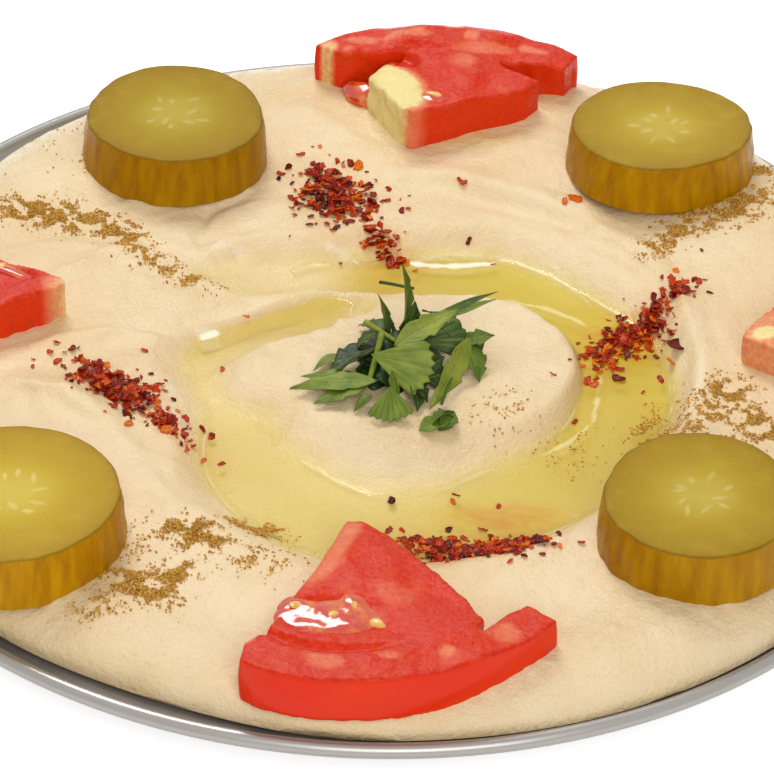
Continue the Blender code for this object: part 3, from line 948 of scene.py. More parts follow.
@dataclass(frozen=True)
class Cluster:
    """An oval heap of scattered bits, denser in its middle."""

    x: float
    y: float
    along: float
    across: float
    heading: float
    count: int
    pile: float = 0.0

    def scatter(self, random: np.random.Generator, times: float = 1.0) -> tuple[Array, Array, Array]:
        """Draws the bits' places.

        Args:
            random: where the draws come from.
            times: how many times the heap's own count to draw.

        Returns:
            The places' x and y in mm, and how near the middle each is, 0 to 1.
        """
        along, across = random.normal(0, 0.45, (2, int(self.count * times)))
        turn = math.radians(self.heading)
        x = self.x + along * self.along * math.cos(turn) - across * self.across * math.sin(turn)
        y = self.y + along * self.along * math.sin(turn) + across * self.across * math.cos(turn)
        return x, y, np.exp(-(along ** 2 + across ** 2) * 2)

    def stain(self, x: Array, y: Array, reach: float) -> Array:
        """Returns how strongly the cluster marks places in mm, with its size grown by reach."""
        along, across = into_frame(x - self.x, y - self.y, math.radians(self.heading))
        along, across = along / (self.along * 0.5 + reach), across / (self.across * 0.5 + reach)
        return np.exp(-(along ** 2 + across ** 2) / 1.6)


CHILLI_HEAPS = (
    Cluster(-9, 48, 13, 9, -62, 95, 0.5), Cluster(-10, 51, 18, 13, -50, 36),
    Cluster(0, 35, 7, 4, -50, 26, 0.4), Cluster(50, 11, 15, 5.5, 48, 95, 0.5),
    Cluster(50, 9, 19, 10, 50, 34), Cluster(43, 3, 5, 4, 30, 16),
    Cluster(-49, -17, 15, 5, -40, 95, 0.5), Cluster(-48, -17, 20, 8, -36, 36),
    Cluster(-38, -28, 6, 3, -40, 14), Cluster(17, -59, 16, 4.5, -6, 74, 0.4),
    Cluster(26, -58, 9, 4.5, -14, 44, 0.5), Cluster(8, -56, 9, 6, 0, 14),
)
CHILLI_SINGLES = (
    (38, 48, 3.4), (36, 47, 2.4), (15.5, 54, 2.2), (17, 37.5, 1.6), (22, 32.5, 1.2), (-26, 12, 1.6),
    (3, -43.5, 2.0), (15, -41.5, 2.2), (14.5, -43.5, 1.7), (23, -44.5, 1.3), (-30, -6, 1.6),
    (37.5, -18, 1.7), (57.5, 3, 4.6), (56.5, 0, 3.2), (46, -4, 3.0), (40, -5, 2.6), (41.5, -6, 2.0),
    (62, 23, 1.8), (64, 19, 1.6), (-63, -6, 1.8), (-66, -10, 1.5), (-45, -4, 1.6), (27, -56, 4.0),
)
CUMIN_HEAPS = (
    Cluster(-66, 40, 12, 4.5, -14, 1300, 0.9), Cluster(-53, 36, 7, 3.5, -30, 600, 0.8),
    Cluster(-46, 27, 11, 4, -42, 260), Cluster(-38, 20, 6, 2.5, -20, 160),
    Cluster(-84, 47, 8, 3, -20, 420, 0.6), Cluster(67, 46, 12, 5.5, 24, 1500, 1.0),
    Cluster(57.5, 37, 6, 3, 40, 380, 0.3), Cluster(74, 60, 7, 3, 10, 300, 0.4),
    Cluster(54, 34, 6, 4, 40, 150), Cluster(-33, -60, 6.5, 4, -20, 900, 1.1),
    Cluster(-22, -54, 6, 2.6, -8, 480, 0.6), Cluster(-42, -75, 8, 4, -28, 900, 0.9),
    Cluster(-36, -71, 5, 3, 20, 360, 0.8), Cluster(-48, -62, 12, 8, 0, 200),
    Cluster(-22, -66, 8, 6, 0, 140), Cluster(-50, -80, 6, 4, 0, 120),
    Cluster(66, -14, 8, 6, 60, 420, 0.4), Cluster(73, -22, 6, 7, 80, 420, 0.5),
    Cluster(60, -22, 9, 5, 70, 240), Cluster(52, -20, 9, 5, 70, 200),
    Cluster(24, -20, 6, 8, 0, 60), Cluster(36, -28, 8, 8, 0, 60), Cluster(-60, 62, 20, 20, 0, 60),
)
OIL_TINT: Table = {
    -90: 0.75, -40: 0.8, 0: 0.9, 60: 0.9, 95: 0.55, 115: 0.35, 150: 0.4, 200: 0.5, 240: 0.65}
# Painted highlights and caustics: strips along the oil's edges where the lamp would reflect, and thin
# lines of focused light under the oil. Each row is brightness, width in mm and the line.
GLINTS = (
    (1.0, 0.9, ((2, 33.4), (11, 31.6), (24, 33.2))),
    (0.7, 0.7, ((-12, 34.4), (-8, 33), (-4, 31.2))),
    (0.9, 1.6, ((-35.5, 5.6), (-31, 8.2))), (0.9, 1.1, ((-18, 5.4), (-15, 7.2))),
    (1.0, 0.9, ((-27, -1.2), (-23.5, 1.4), (-20, 2.4))), (0.5, 0.8, ((-36, 31), (-31, 32), (-27, 31))),
    (0.5, 0.5, ((3, 32), (10, 34), (20, 34.5), (30, 31), (38, 24), (41.5, 18))),
    (0.4, 0.6, ((20, 20), (28, 19.5), (36, 16), (41, 12))),
    (0.45, 0.55, ((42.5, -1), (41.6, -12), (38, -22), (29, -30))),
    (0.25, 0.7, ((-33, -42), (-26, -50), (-9, -64))), (0.35, 0.8, ((-40, -10), (-38, -22), (-34, -30))),
    (0.35, 0.5, ((60.5, 14), (62, 4), (61.5, -8), (59, -20))),
)


def glints(x: Array, y: Array) -> Array:
    """Returns how strongly the painted highlights and caustic lines mark places in mm, along the oil's
    thin edges.
    """
    total = np.zeros(np.shape(x))
    for bright, width, line in GLINTS:
        away, part = along_line(x, y, spread(line))
        ends = smoothstep(part / 0.15) * smoothstep((1 - part) / 0.15)
        thick = width * (0.75 + 0.45 * waves(x, y, 5, 35)) * (0.4 + 0.6 * ends)
        inside = smoothstep(1.5 - np.abs(away) / np.maximum(thick, 0.2))
        total = np.maximum(total, bright * ends * inside)
    return total


def clumps(x: Array, y: Array) -> Array:
    """Returns how thickly the ground spice lies at places in mm, 0 to 1."""
    fine = waves(x, y, 4.4, 84) * 1.1 + waves(x, y, 1.7, 85) * 0.6
    return smoothstep(fine * 1.5 + 0.4)


def stains(x: Array, y: Array, heaps: Iterable[Cluster], reach: float, strength: float) -> Array:
    """Returns how strongly some heaps mark places in mm, up to about strength."""
    total = np.zeros(np.shape(x))
    for heap in heaps:
        dense = min(1.0, heap.count / (heap.along * heap.across) * strength)
        total = np.maximum(total, dense * heap.stain(x, y, reach))
    return total


@dataclass
class Spread:
    """The hummus, filling the plate out to its flange."""

    relief: Relief
    steps: int = 300
    gap: float = 0.3
    tuck: float = 0.4
    under: Line = ((92, 8.6), (89, 7.2), (85, 2.4), (80, 0.9))
    faint_pool: Oval = (17, 68.5, 9, 3.2)
    wet_ledge: Oval = (-14, 24, 17, 7)

    def blank(self) -> bpy.types.Mesh:
        """Makes a round sheet with its underside, level on top."""
        bm = bmesh.new()
        bmesh.ops.create_grid(bm, x_segments=self.steps, y_segments=self.steps, size=1.0)
        for vertex in bm.verts:
            vertex.co = self.rounded(vertex.co)
        ring = [edge for edge in bm.edges if edge.is_boundary]
        for place in (None, *self.under):
            made = bmesh.ops.extrude_edge_only(bm, edges=ring)["geom"]
            ring = [item for item in made if isinstance(item, bmesh.types.BMEdge)]
            for vertex in (item for item in made if isinstance(item, bmesh.types.BMVert)):
                heading = math.atan2(vertex.co.y, vertex.co.x)
                reach, level = place or self.foot_at(heading)
                vertex.co = (reach * math.cos(heading), reach * math.sin(heading), level + self.gap)
        bmesh.ops.edgeloop_fill(bm, edges=ring)
        return mesh_from(bm, "hummus")

    def edge_at(self, heading: float) -> float:
        """Returns the spread's radius at a heading in radians."""
        return float(curve_around(self.relief.edge, np.array(heading)))

    def foot_at(self, heading: float) -> tuple[float, float]:
        """Returns where the spread's edge meets the flange at a heading: its radius and height."""
        reach = self.edge_at(heading) - self.tuck
        return reach, float(self.relief.flange_height(reach))

    def rounded(self, corner: Vector) -> Vector:
        """Returns where a corner of the square sheet goes on the round one, above its underside."""
        u, v = corner.x, corner.y
        reach = max(abs(u), abs(v))
        if reach < 1e-6:
            return Vector((0, 0, self.relief.level))
        straight = (math.pi / 4) * (v / u if abs(u) > abs(v) else u / v)
        turned = straight if abs(u) > abs(v) else math.pi / 2 - straight
        if (u if abs(u) > abs(v) else v) < 0:
            turned += math.pi
        radius = reach * self.edge_at(turned)
        return Vector((radius * math.cos(turned), radius * math.sin(turned), self.relief.level))

    def build(self, finish: HummusFinish) -> bpy.types.Object:
        """Makes the hummus.

        Args:
            finish: its finish.

        Returns:
            The finished object.
        """
        mesh = self.blank()
        places = corners_of(mesh)
        top = np.arange(len(places)) < (self.steps + 1) ** 2
        places[top, 2] = self.relief.height(places[top, 0], places[top, 1])
        put_places(mesh, places)
        x, y = places[:, 0], places[:, 1]
        radius, heading = np.hypot(x, y), np.arctan2(y, x)
        wet = self.relief.groove(radius, heading)[1]
        faint = oval(x, y, self.faint_pool, 1.4) * 0.45
        ledge = oval(x, y, self.wet_ledge) * 0.3
        oiled = smoothstep((wet - 0.35) / 0.5) * curve_around(OIL_TINT, heading)
        store(mesh, "oiled", np.maximum(oiled, np.maximum(faint, ledge)))
        store(mesh, "chilli", stains(x, y, CHILLI_HEAPS, 1.2, 0.9))
        store(mesh, "cumin", stains(x, y, CUMIN_HEAPS, 0.7, 0.12) * (0.08 + clumps(x, y)))
        # painted highlights on the hummus, fainter than on the oil
        store(mesh, "glint", glints(x, y) * 0.45)
        store(mesh, "wet", self.relief.craggy(x, y) + smoothstep((radius - 80) / 16) * 0.6)
        return Piece("hummus_spread", "hummus", ("hummus",), finish.material()).finish(mesh)


@dataclass
class OilFilm:
    """The oil lying in the spoon's groove, a level film that dives under the banks."""

    relief: Relief
    level: float = 16.0
    start: float = 95
    end: float = 482
    along: int = 560
    across: int = 46
    margin: float = 3.0
    richness: Table = field(default_factory=lambda: {
        -90: 0.5, -60: 0.65, -30: 0.85, 0: 0.95, 30: 1.0, 60: 1.0, 90: 0.9, 120: 0.85, 150: 0.7,
        180: 0.5, 225: 0.5})
    red_pool: Oval = (24, -48, 12, 5)

    def build(self, finish: OilFinish) -> bpy.types.Object:
        """Makes the film.

        Args:
            finish: its finish.

        Returns:
            The finished object.
        """
        bm = bmesh.new()
        bmesh.ops.create_grid(bm, x_segments=self.along, y_segments=self.across, size=0.5)
        copy = bmesh.ops.duplicate(bm, geom=bm.verts[:] + bm.edges[:] + bm.faces[:])["geom"]
        lower = [item for item in copy if isinstance(item, bmesh.types.BMFace)]
        bmesh.ops.reverse_faces(bm, faces=lower)
        for vertex in (item for item in copy if isinstance(item, bmesh.types.BMVert)):
            vertex.co.z = -1
        rims = [edge for edge in bm.edges if edge.is_boundary]
        bmesh.ops.bridge_loops(bm, edges=rims)
        mesh = mesh_from(bm, "oil")
        grid = corners_of(mesh)
        around = self.start + (grid[:, 0] + 0.5) * (self.end - self.start)
        inner = curve_through(self.relief.groove_inner, around) - self.margin
        outer = curve_through(self.relief.groove_outer, around) + self.margin
        radius = inner + (grid[:, 1] + 0.5) * (outer - inner)
        heading = np.radians(around)
        x, y = radius * np.cos(heading), radius * np.sin(heading)
        ground = self.relief.height(x, y)
        depth = self.level - ground
        swell = waves(x, y, 18, 31) * 0.05
        creep = 0.22 * np.exp(-np.clip(depth, 0, None) / 0.35)
        surface = np.where(depth < -0.45, ground - 0.25, self.level + swell + creep)
        height = np.where(grid[:, 2] > -0.5, surface, np.minimum(ground, surface) - 0.6)
        put_places(mesh, np.stack([x, y, height], axis=1))
        mesh.flip_normals()
        film = surface - ground
        fade = smoothstep((self.end - around) / 30)
        store(mesh, "depth", np.clip(film / 2.0, 0, 1) * curve_around(self.richness, heading) * fade)
        # painted highlights: the film's edge line and the listed strips and caustics
        store(mesh, "glint", np.maximum(self.edge_line(x, y, film), glints(x, y)))
        spiced = stains(x, y, CUMIN_HEAPS, 2, 0.12) * clumps(x, y) * 0.5
        pools = oval(x, y, self.red_pool) * 0.6
        red = stains(x, y, CHILLI_HEAPS, 4, 0.9) * 0.85
        store(mesh, "stain", np.maximum(red, np.maximum(spiced, pools)))
        return Piece("oil_film", "oil", ("olive_oil",), finish.material()).finish(mesh)

    def edge_line(self, x: Array, y: Array, film: Array) -> Array:
        """Returns a painted highlight along the film's thin edge, in patches."""
        line = np.exp(-((film - 0.5) / 0.16) ** 2)
        patches = smoothstep(waves(x, y, 26, 33) * 1.2 + 0.5)
        return line * patches * 0.5


@dataclass
class Plate:
    """The round steel plate: flat floor, low wall, wide flange and rolled rim."""

    profile: Line = (
        (0, 0.9), (79, 0.9), (82, 1.2), (85, 2.4), (89, 7.2), (90.4, 8.2), (92, 8.6), (99, 9.5),
        (107, 10.5))
    bead_centre: tuple[float, float] = (108.5, 10.5)
    bead: float = 1.5
    bead_turn: tuple[float, float] = (140, -100)
    bead_steps: int = 17
    back: Line = (
        (106, 9.5), (93, 7.7), (90.8, 7.2), (89.6, 6.4), (85.6, 1.2), (83.5, 0.3), (80, 0), (0, 0))
    steps: int = 256

    def build(self, finish: SteelFinish) -> bpy.types.Object:
        """Makes the plate.

        Args:
            finish: its finish.

        Returns:
            The finished object.
        """
        out, up = self.bead_centre
        turns = np.radians(np.linspace(*self.bead_turn, self.bead_steps))
        rim = [(out + self.bead * math.cos(t), up + self.bead * math.sin(t)) for t in turns]
        profile = [(r * MM, z * MM) for r, z in (*self.profile, *rim, *self.back)]
        mesh = mesh_from(lathe(profile, self.steps, 0.001 * MM), "plate")
        return Piece("steel_plate", "plate", ("plate",), finish.material()).finish(mesh)


@dataclass
class PickleSlice:
    """A thick round slice of gherkin, lying tilted on the hummus."""

    side: str
    middle: Place
    radius: float
    thickness: float
    tilt: float
    seed: int
    light: float = 1.0
    steps: int = 224
    bevel: float = 0.4
    flare: float = 0.05
    seed_count: int = 10

    def outline(self, heading: Array) -> Array:
        """Returns the slice's uneven radius at a heading, in mm."""
        phase = self.middle[0] * 0.37
        uneven = 1 + 0.014 * np.sin(3 * heading + phase) + 0.014 * np.cos(2 * heading - phase)
        uneven = uneven + 0.006 * np.sin(5 * heading + phase * 3)
        return uneven + 0.002 * np.sin(11 * heading + phase * 2) + 0.0015 * np.sin(23 * heading + phase)

    def blank(self) -> bpy.types.Mesh:
        """Makes a plain slice of radius 1 whose top face is at height 0."""
        share = self.bevel / self.radius
        turns = np.radians(np.linspace(90, 0, 7))
        top = [(r, 0.0) for r in np.linspace(0, 1, 48)[:-1] ** 0.8 * (1 - share)]
        edge = [(1 - share + share * math.cos(t), self.bevel * (math.sin(t) - 1)) for t in turns]
        side = [(1.0, -z) for z in np.linspace(self.bevel, self.thickness - self.bevel, 16)[1:-1]]
        foot = [(reach, -self.thickness - drop) for reach, drop in reversed(edge)]
        base = [(r, -self.thickness) for r in (0.7, 0.35, 0.0)]
        profile = (*top, *edge, *side, *foot, *base)
        return mesh_from(lathe(profile, self.steps, 1e-5), "slice")

    def seeds(self, x: Array, y: Array) -> tuple[Array, Array]:
        """Works out the seeds in the slice's middle.

        Args:
            x: places on the top face, in mm from its middle.
            y: places on the top face, in mm from its middle.

        Returns:
            How far into a seed each place is, 0 to 1, and the same for the soft pulp round them.
        """
        random = np.random.default_rng(self.seed)
        found = np.zeros(np.shape(x))
        for place in range(self.seed_count):
            heading = self.seed + (place + random.uniform(-0.35, 0.35)) * TAU / self.seed_count
            away = random.uniform(3.0, 6.6)
            turn = heading + random.uniform(-0.9, 0.9)
            right, up = x - away * math.cos(heading), y - away * math.sin(heading)
            along, across = into_frame(right, up, turn)
            long = random.uniform(1.1, 2.1)
            width = random.uniform(0.5, 0.8) * (1 + 0.2 * np.clip(along / long, -1, 1))
            shape = 1 - (along / long) ** 2 - (across / width) ** 2
            found = np.maximum(found, smoothstep(shape / 0.8) * random.uniform(0.5, 1))
        cloudy = 0.75 + 0.25 * waves(x, y, 5, self.seed + 9)
        return found, smoothstep(1.5 - np.hypot(x, y * 1.15) / 6) * cloudy

    def build(self) -> bpy.types.Object:
        """Makes the slice and returns its object."""
        mesh = self.blank()
        places = corners_of(mesh)
        x, y, z = places.T
        reach, heading = np.hypot(x, y), np.arctan2(y, x)
        down = np.clip(-z / self.thickness, 0, 1)
        radius = self.radius * self.outline(heading) * reach
        radius = radius * (0.985 + self.flare * down)
        x, y = radius * np.cos(heading), radius * np.sin(heading)
        on_top = (z > -1e-6) & (reach < 0.97)
        seed, pulp = self.seeds(x, y)
        rim = np.exp(-((reach - 0.93) / 0.035) ** 2)
        relief = 0.14 * seed - 0.12 * pulp + 0.03 * rim - 0.12 * (1 - reach ** 2)
        rays = np.cos(heading * 9 + waves(x, y, 14, self.seed) * 2)
        relief = relief + rays * smoothstep((reach - 0.3) / 0.3) * 0.02
        relief = relief + waves(x, y, 6, self.seed + 1) * 0.03
        relief = relief + waves(x, y, 1.6, self.seed + 2) * 0.008
        z = z + np.where(on_top, relief * smoothstep((0.99 - reach) / 0.05), 0)
        uneven = waves(heading * self.radius, places[:, 2], 5, self.seed + 3)
        bulge = 0.25 * np.sin(down * math.pi) + uneven * 0.12
        bulge = bulge * smoothstep((reach - 0.97) / 0.03)
        x, y = x + bulge * np.cos(heading), y + bulge * np.sin(heading)
        y, z = into_frame(y, z, -math.radians(self.tilt))
        put_places(mesh, np.stack([x, y, z], axis=1) + np.array(self.middle))
        top_share = smoothstep((places[:, 2] + self.bevel * 1.05) / (self.bevel * 0.55))
        store(mesh, "reach", np.clip(reach, 0, 1))
        store(mesh, "skin", np.where(reach > 0.9, 1 - top_share, 0))
        store(mesh, "seed", np.where(on_top, seed, 0))
        store(mesh, "core", np.where(on_top, pulp, 0))
        name = f"pickle_slice_{self.side}"
        material = PickleFinish(name, self.light).material()
        return Piece(name, "pickle", (f"pickle_{self.side}",), material).finish(mesh)


@dataclass
class Studio:
    """The pale floor, the soft lamps, the white surroundings and the camera."""

    floor_size: float = 6.0
    floor_tints: tuple[Colour, Colour] = (srgb(250, 250, 249), srgb(246, 246, 246))
    floor_glow: float = 0.6
    daylight: tuple[float, ...] = (1.0, 0.995, 0.985, 1)
    fill: float = 0.42
    lens: float = 265.74
    sensor: float = 36.0
    seen_from: Place = (0.001624, -0.880193, 0.675889)
    aim: Place = (0.001624, -0.003133, 0.012)
    roll: float = 1.497
    lamps: tuple[tuple[str, tuple[float, float, float], float, float], ...] = (
        ("key", (-0.3, 0.85, 1.3), 0.6, 12.2),
        ("front", (0.25, -1.6, 1.3), 1.2, 19.5),
    )

    def build(self) -> None:
        """Makes it all."""
        self.floor()
        self.surroundings()
        for name, place, size, power in self.lamps:
            self.lamp(name, Vector(place), size, power)
        self.camera()
        bpy.context.scene.view_settings.view_transform = "Standard"

    def shown(self, shader: Shader) -> Value:
        """Returns 1 for what the camera, a reflection or a clear thing sees directly, else 0."""
        kinds = ("Is Camera Ray", "Is Glossy Ray", "Is Transmission Ray")
        total = sum(shader.node("ShaderNodeLightPath", output=kind) for kind in kinds)
        return total.clamped()

    def floor(self) -> None:
        """Makes the floor."""
        bm = bmesh.new()
        bmesh.ops.create_grid(bm, x_segments=8, y_segments=8, size=self.floor_size / 2)
        mesh = mesh_from(bm, "floor")
        made = bpy.data.objects.new("floor", mesh)
        bpy.context.scene.collection.objects.link(made)
        shader = Shader("floor")
        speckle = shader.noise(shader.place(), 60.0, 2.0)
        colour = shader.mix(*self.floor_tints, speckle)
        glow = shader.mix((0.0, 0.0, 0.0), (1.0, 1.0, 1.0), self.shown(shader))
        mesh.materials.append(shader.surface(
            Base_Color=colour, Roughness=0.9, Emission_Color=glow,
            Emission_Strength=self.floor_glow, Specular_IOR_Level=0.1))

    def surroundings(self) -> None:
        """Lights everything softly from all round."""
        world = bpy.data.worlds.new("surroundings")
        world.use_nodes = True
        bpy.context.scene.world = world
        nodes, links = world.node_tree.nodes, world.node_tree.links
        nodes.clear()
        path = nodes.new("ShaderNodeLightPath")
        seen = path.outputs["Is Camera Ray"]
        for kind in ("Is Glossy Ray", "Is Transmission Ray"):
            either = nodes.new("ShaderNodeMath")
            either.operation = "MAXIMUM"
            links.new(seen, either.inputs[0])
            links.new(path.outputs[kind], either.inputs[1])
            seen = either.outputs[0]
        strength = nodes.new("ShaderNodeMapRange")
        strength.inputs["To Min"].default_value = self.fill
        strength.inputs["To Max"].default_value = 1.0
        light = nodes.new("ShaderNodeBackground")
        light.inputs["Color"].default_value = self.daylight
        links.new(seen, strength.inputs["Value"])
        links.new(strength.outputs[0], light.inputs["Strength"])
        links.new(light.outputs[0], nodes.new("ShaderNodeOutputWorld").inputs["Surface"])

    def lamp(self, name: str, place: Vector, size: float, power: float) -> None:
        """Hangs a soft lamp.

        Args:
            name: its name.
            place: where it hangs, in metres. It faces the plate.
            size: the side of its square, in metres.
            power: its power in watts.
        """
        lamp = bpy.data.lights.new(name, "AREA")
        lamp.size, lamp.energy = size, power
        made = bpy.data.objects.new(name, lamp)
        made.location = place
        made.rotation_euler = (-place).to_track_quat("-Z", "Y").to_euler()
        bpy.context.scene.collection.objects.link(made)

    def camera(self) -> None:
        """Sets the camera up."""
        seen_from = Vector(self.seen_from)
        camera = bpy.data.cameras.new("camera")
        camera.lens, camera.sensor_width = self.lens, self.sensor
        made = bpy.data.objects.new("camera", camera)
        turn = (Vector(self.aim) - seen_from).to_track_quat("-Z", "Y").to_matrix()
        turn = turn @ Matrix.Rotation(math.radians(self.roll), 3, "Z")
        made.matrix_world = Matrix.Translation(seen_from) @ turn.to_4x4()
        bpy.context.scene.collection.objects.link(made)
        bpy.context.scene.camera = made


@dataclass(frozen=True)
class Patch:
    """A soft oval on a cut face: out from the tip and to its left, in mm."""

    out: float
    left: float
    long: float
    wide: float
    heading: float
    amount: float
    low: float = 0.0

    def share(self, out: Array, left: Array) -> Array:
        """Returns how far into the oval places are, times its amount."""
        along, across = into_frame(out - self.out, left - self.left, math.radians(self.heading))
        away = np.hypot(along / self.long, across / self.wide)
        return self.amount * smoothstep((1.25 - away) / 0.7)


def total_share(patches: Iterable[Patch], out: Array, left: Array) -> Array:
    """Returns how far into some ovals places are, added up."""
    return sum((patch.share(out, left) for patch in patches), np.zeros(len(out)))


@dataclass
class TomatoPiece:
    """A thick piece of tomato: a wall of flesh behind its skin, and cut flesh up to its tip."""

    name: str
    node: str
    tip: tuple[float, float]
    heading: float
    bottom: float
    top: float
    reach: float
    cut: Line
    seed: int
    wall: float = 8.0
    seam: float = 0.7
    seam_end: float = 60.0
    hollows: tuple[Patch, ...] = ()
    swells: tuple[Patch, ...] = ()
    pale: tuple[Patch, ...] = ()
    blobs: tuple[Patch, ...] = ()
    seeds: tuple[tuple[float, float, float], ...] = ()
    voxel: float = 0.5

    def placed(self, out: Array, left: Array) -> tuple[Array, Array]:
        """Returns the x and y of places given out from the tip and to its left."""
        turn = math.radians(self.heading)
        x = self.tip[0] + out * math.cos(turn) - left * math.sin(turn)
        y = self.tip[1] + out * math.sin(turn) + left * math.cos(turn)
        return x, y

    def from_tip(self, x: Array, y: Array) -> tuple[Array, Array]:
        """Returns how far places are out from the tip and to its left."""
        return into_frame(x - self.tip[0], y - self.tip[1], math.radians(self.heading))

    def skin_line(self) -> Line:
        """Returns the skin's curve, from the last cut corner to the first, out and left."""
        first, last = self.cut[-1], self.cut[0]
        sweep = self.reach - (first[0] + last[0]) / 2
        line = []
        for t in np.linspace(0, 1, 25):
            out = first[0] + (last[0] - first[0]) * t + sweep * (1 - (2 * t - 1) ** 2) ** 0.8
            line.append((out, first[1] + (last[1] - first[1]) * t))
        return tuple(line)

    def blank(self) -> bpy.types.Mesh:
        """Makes the plain piece with softened edges."""
        bm = bmesh.new()
        outline = [self.placed(out, left) for out, left in (*self.cut, *self.skin_line()[1:-1])]
        corners = [bm.verts.new((x * MM, y * MM, self.bottom * MM)) for x, y in outline]
        made = bmesh.ops.extrude_face_region(bm, geom=[bm.faces.new(corners)])["geom"]
        raised = [item for item in made if isinstance(item, bmesh.types.BMVert)]
        bmesh.ops.translate(bm, vec=(0, 0, (self.top - self.bottom) * MM), verts=raised)
        rough = bpy.data.objects.new("rough", mesh_from(bm, "rough"))
        bpy.context.scene.collection.objects.link(rough)
        remesh = rough.modifiers.new("fine", "REMESH")
        remesh.mode, remesh.voxel_size = "VOXEL", self.voxel * MM
        soften = rough.modifiers.new("soften", "SMOOTH")
        soften.factor, soften.iterations = 0.5, 2
        graph = bpy.context.evaluated_depsgraph_get()
        mesh = bpy.data.meshes.new_from_object(rough.evaluated_get(graph))
        bpy.data.objects.remove(rough)
        return mesh

    def build(self, material: bpy.types.Material) -> bpy.types.Object:
        """Makes the piece.

        Args:
            material: the tomato's finish.

        Returns:
            The finished object.
        """
        mesh = self.blank()
        places = corners_of(mesh) / MM
        normals = np.empty(len(places) * 3, np.float32)
        mesh.vertex_normals.foreach_get("vector", normals)
        normals = normals.reshape(-1, 3)
        out, left = self.from_tip(places[:, 0], places[:, 1])
        off_skin = np.abs(along_line(out, left, self.skin_line())[0])
        part = (places[:, 2] - self.bottom) / (self.top - self.bottom)
        upper = smoothstep(part * 1.6 - 0.45)
        hollow, swell, pale = (total_share(patches, out, left)
                               for patches in (self.hollows, self.swells, self.pale))
        seam = np.exp(-((off_skin - self.wall) / 0.9) ** 2) * self.seam
        seam = seam * smoothstep((self.seam_end - left) / 10)
        uneven = waves(out, left, 11, self.seed) * 0.3 + waves(out, left, 4.5, self.seed + 1) * 0.07
        uneven = uneven + waves(out, left, 1.6, self.seed + 2) * 0.02
        places[:, 2] += upper * (swell - hollow - seam + uneven)
        sideways = waves(places[:, 2] * 1.2, out + left * 1.7, 7, self.seed + 3) * 0.25
        steep = np.abs(normals[:, 2])
        is_skin = smoothstep((1.6 - off_skin) / 0.8) * smoothstep((0.75 - steep) / 0.25)
        places[:, :2] += normals[:, :2] * (sideways * (1 - is_skin))[:, None]
        bulge = is_skin * 0.35 * np.sin(np.clip(part, 0, 1) * math.pi)
        places[:, :2] += normals[:, :2] * bulge[:, None]
        put_places(mesh, places)
        spots = smoothstep(waves(out, left, 8, self.seed + 5) * 1.4 - 0.3)
        strip = np.exp(-((off_skin - self.wall * 0.55) / (self.wall * 0.25)) ** 2) * spots * 0.42
        store(mesh, "skin", is_skin)
        store(mesh, "face", smoothstep((0.7 - steep) / 0.3) * (1 - is_skin))
        store(mesh, "gel", np.clip(hollow / 1.6, 0, 1) * upper)
        store(mesh, "pale", np.clip(pale + strip * upper, 0, 1))
        return Piece(self.name, "tomato", (self.node,), material).finish(mesh)

    def gel(self) -> list[tuple[float, float, float, Patch]]:
        """Returns the middle of each blob of jelly and its oval, whose amount is half its height."""
        tops = [self.top - patch.amount * 1.05 - patch.low for patch in self.blobs]
        return [(*self.placed(patch.out, patch.left), top, patch)
                for patch, top in zip(self.blobs, tops)]


@dataclass
class TomatoFilling:
    """The jelly and the seeds in the hollows of the cut tomato."""

    pieces: Sequence[TomatoPiece]

    def jelly(self) -> bpy.types.Object:
        """Makes the jelly and returns its object."""
        bm = bmesh.new()
        for piece in self.pieces:
            for x, y, z, patch in piece.gel():
                turn = math.radians(piece.heading + patch.heading)
                where = Matrix.Translation((x, y, z)) @ Matrix.Rotation(turn, 4, "Z")
                size = Matrix.Diagonal((patch.long, patch.wide, patch.amount, 1))
                bmesh.ops.create_icosphere(bm, subdivisions=5, radius=1.0, matrix=where @ size)
        mesh = mesh_from(bm, "jelly")
        places = corners_of(mesh)
        places[:, 2] += waves(places[:, 0], places[:, 1], 6.5, 141) * 0.14
        places[:, 0] += waves(places[:, 1], places[:, 2], 5, 142) * 0.4
        put_places(mesh, places)
        return Piece("tomato_jelly", "tomato", (), GelFinish().material()).finish(mesh)

    def seeds(self) -> bpy.types.Object:
        """Makes the seeds and returns their object."""
        where, heading = [], []
        for piece in self.pieces:
            for out, left, turn in piece.seeds:
                # Tone runs from near-black to light green: partly each leaf's own colour, partly painted
                # shade on leaves lying under others.
                x, y = piece.placed(out, left)
                where.append((x, y, piece.top - 0.45))
                heading.append(math.radians(turn + piece.heading))
        size = np.tile((1.7, 1.0, 0.55), (len(where), 1))
        turns = turned_places(np.array(where), np.full(len(where), 0.25), np.array(heading), size)
        bm = bmesh.new()
        bmesh.ops.create_uvsphere(bm, u_segments=20, v_segments=14, radius=1.0)
        for vertex in bm.verts:
            vertex.co.y *= 1 - 0.35 * vertex.co.x
        mesh = joined(bm, "seeds", turns, np.linspace(0, 1, len(where)))
        return Piece("tomato_seeds", "tomato", (), SeedFinish().material()).finish(mesh)


class LeafKind(Enum):
    """How a leaf widens."""

    BLADE = "blade"
    FAN = "fan"


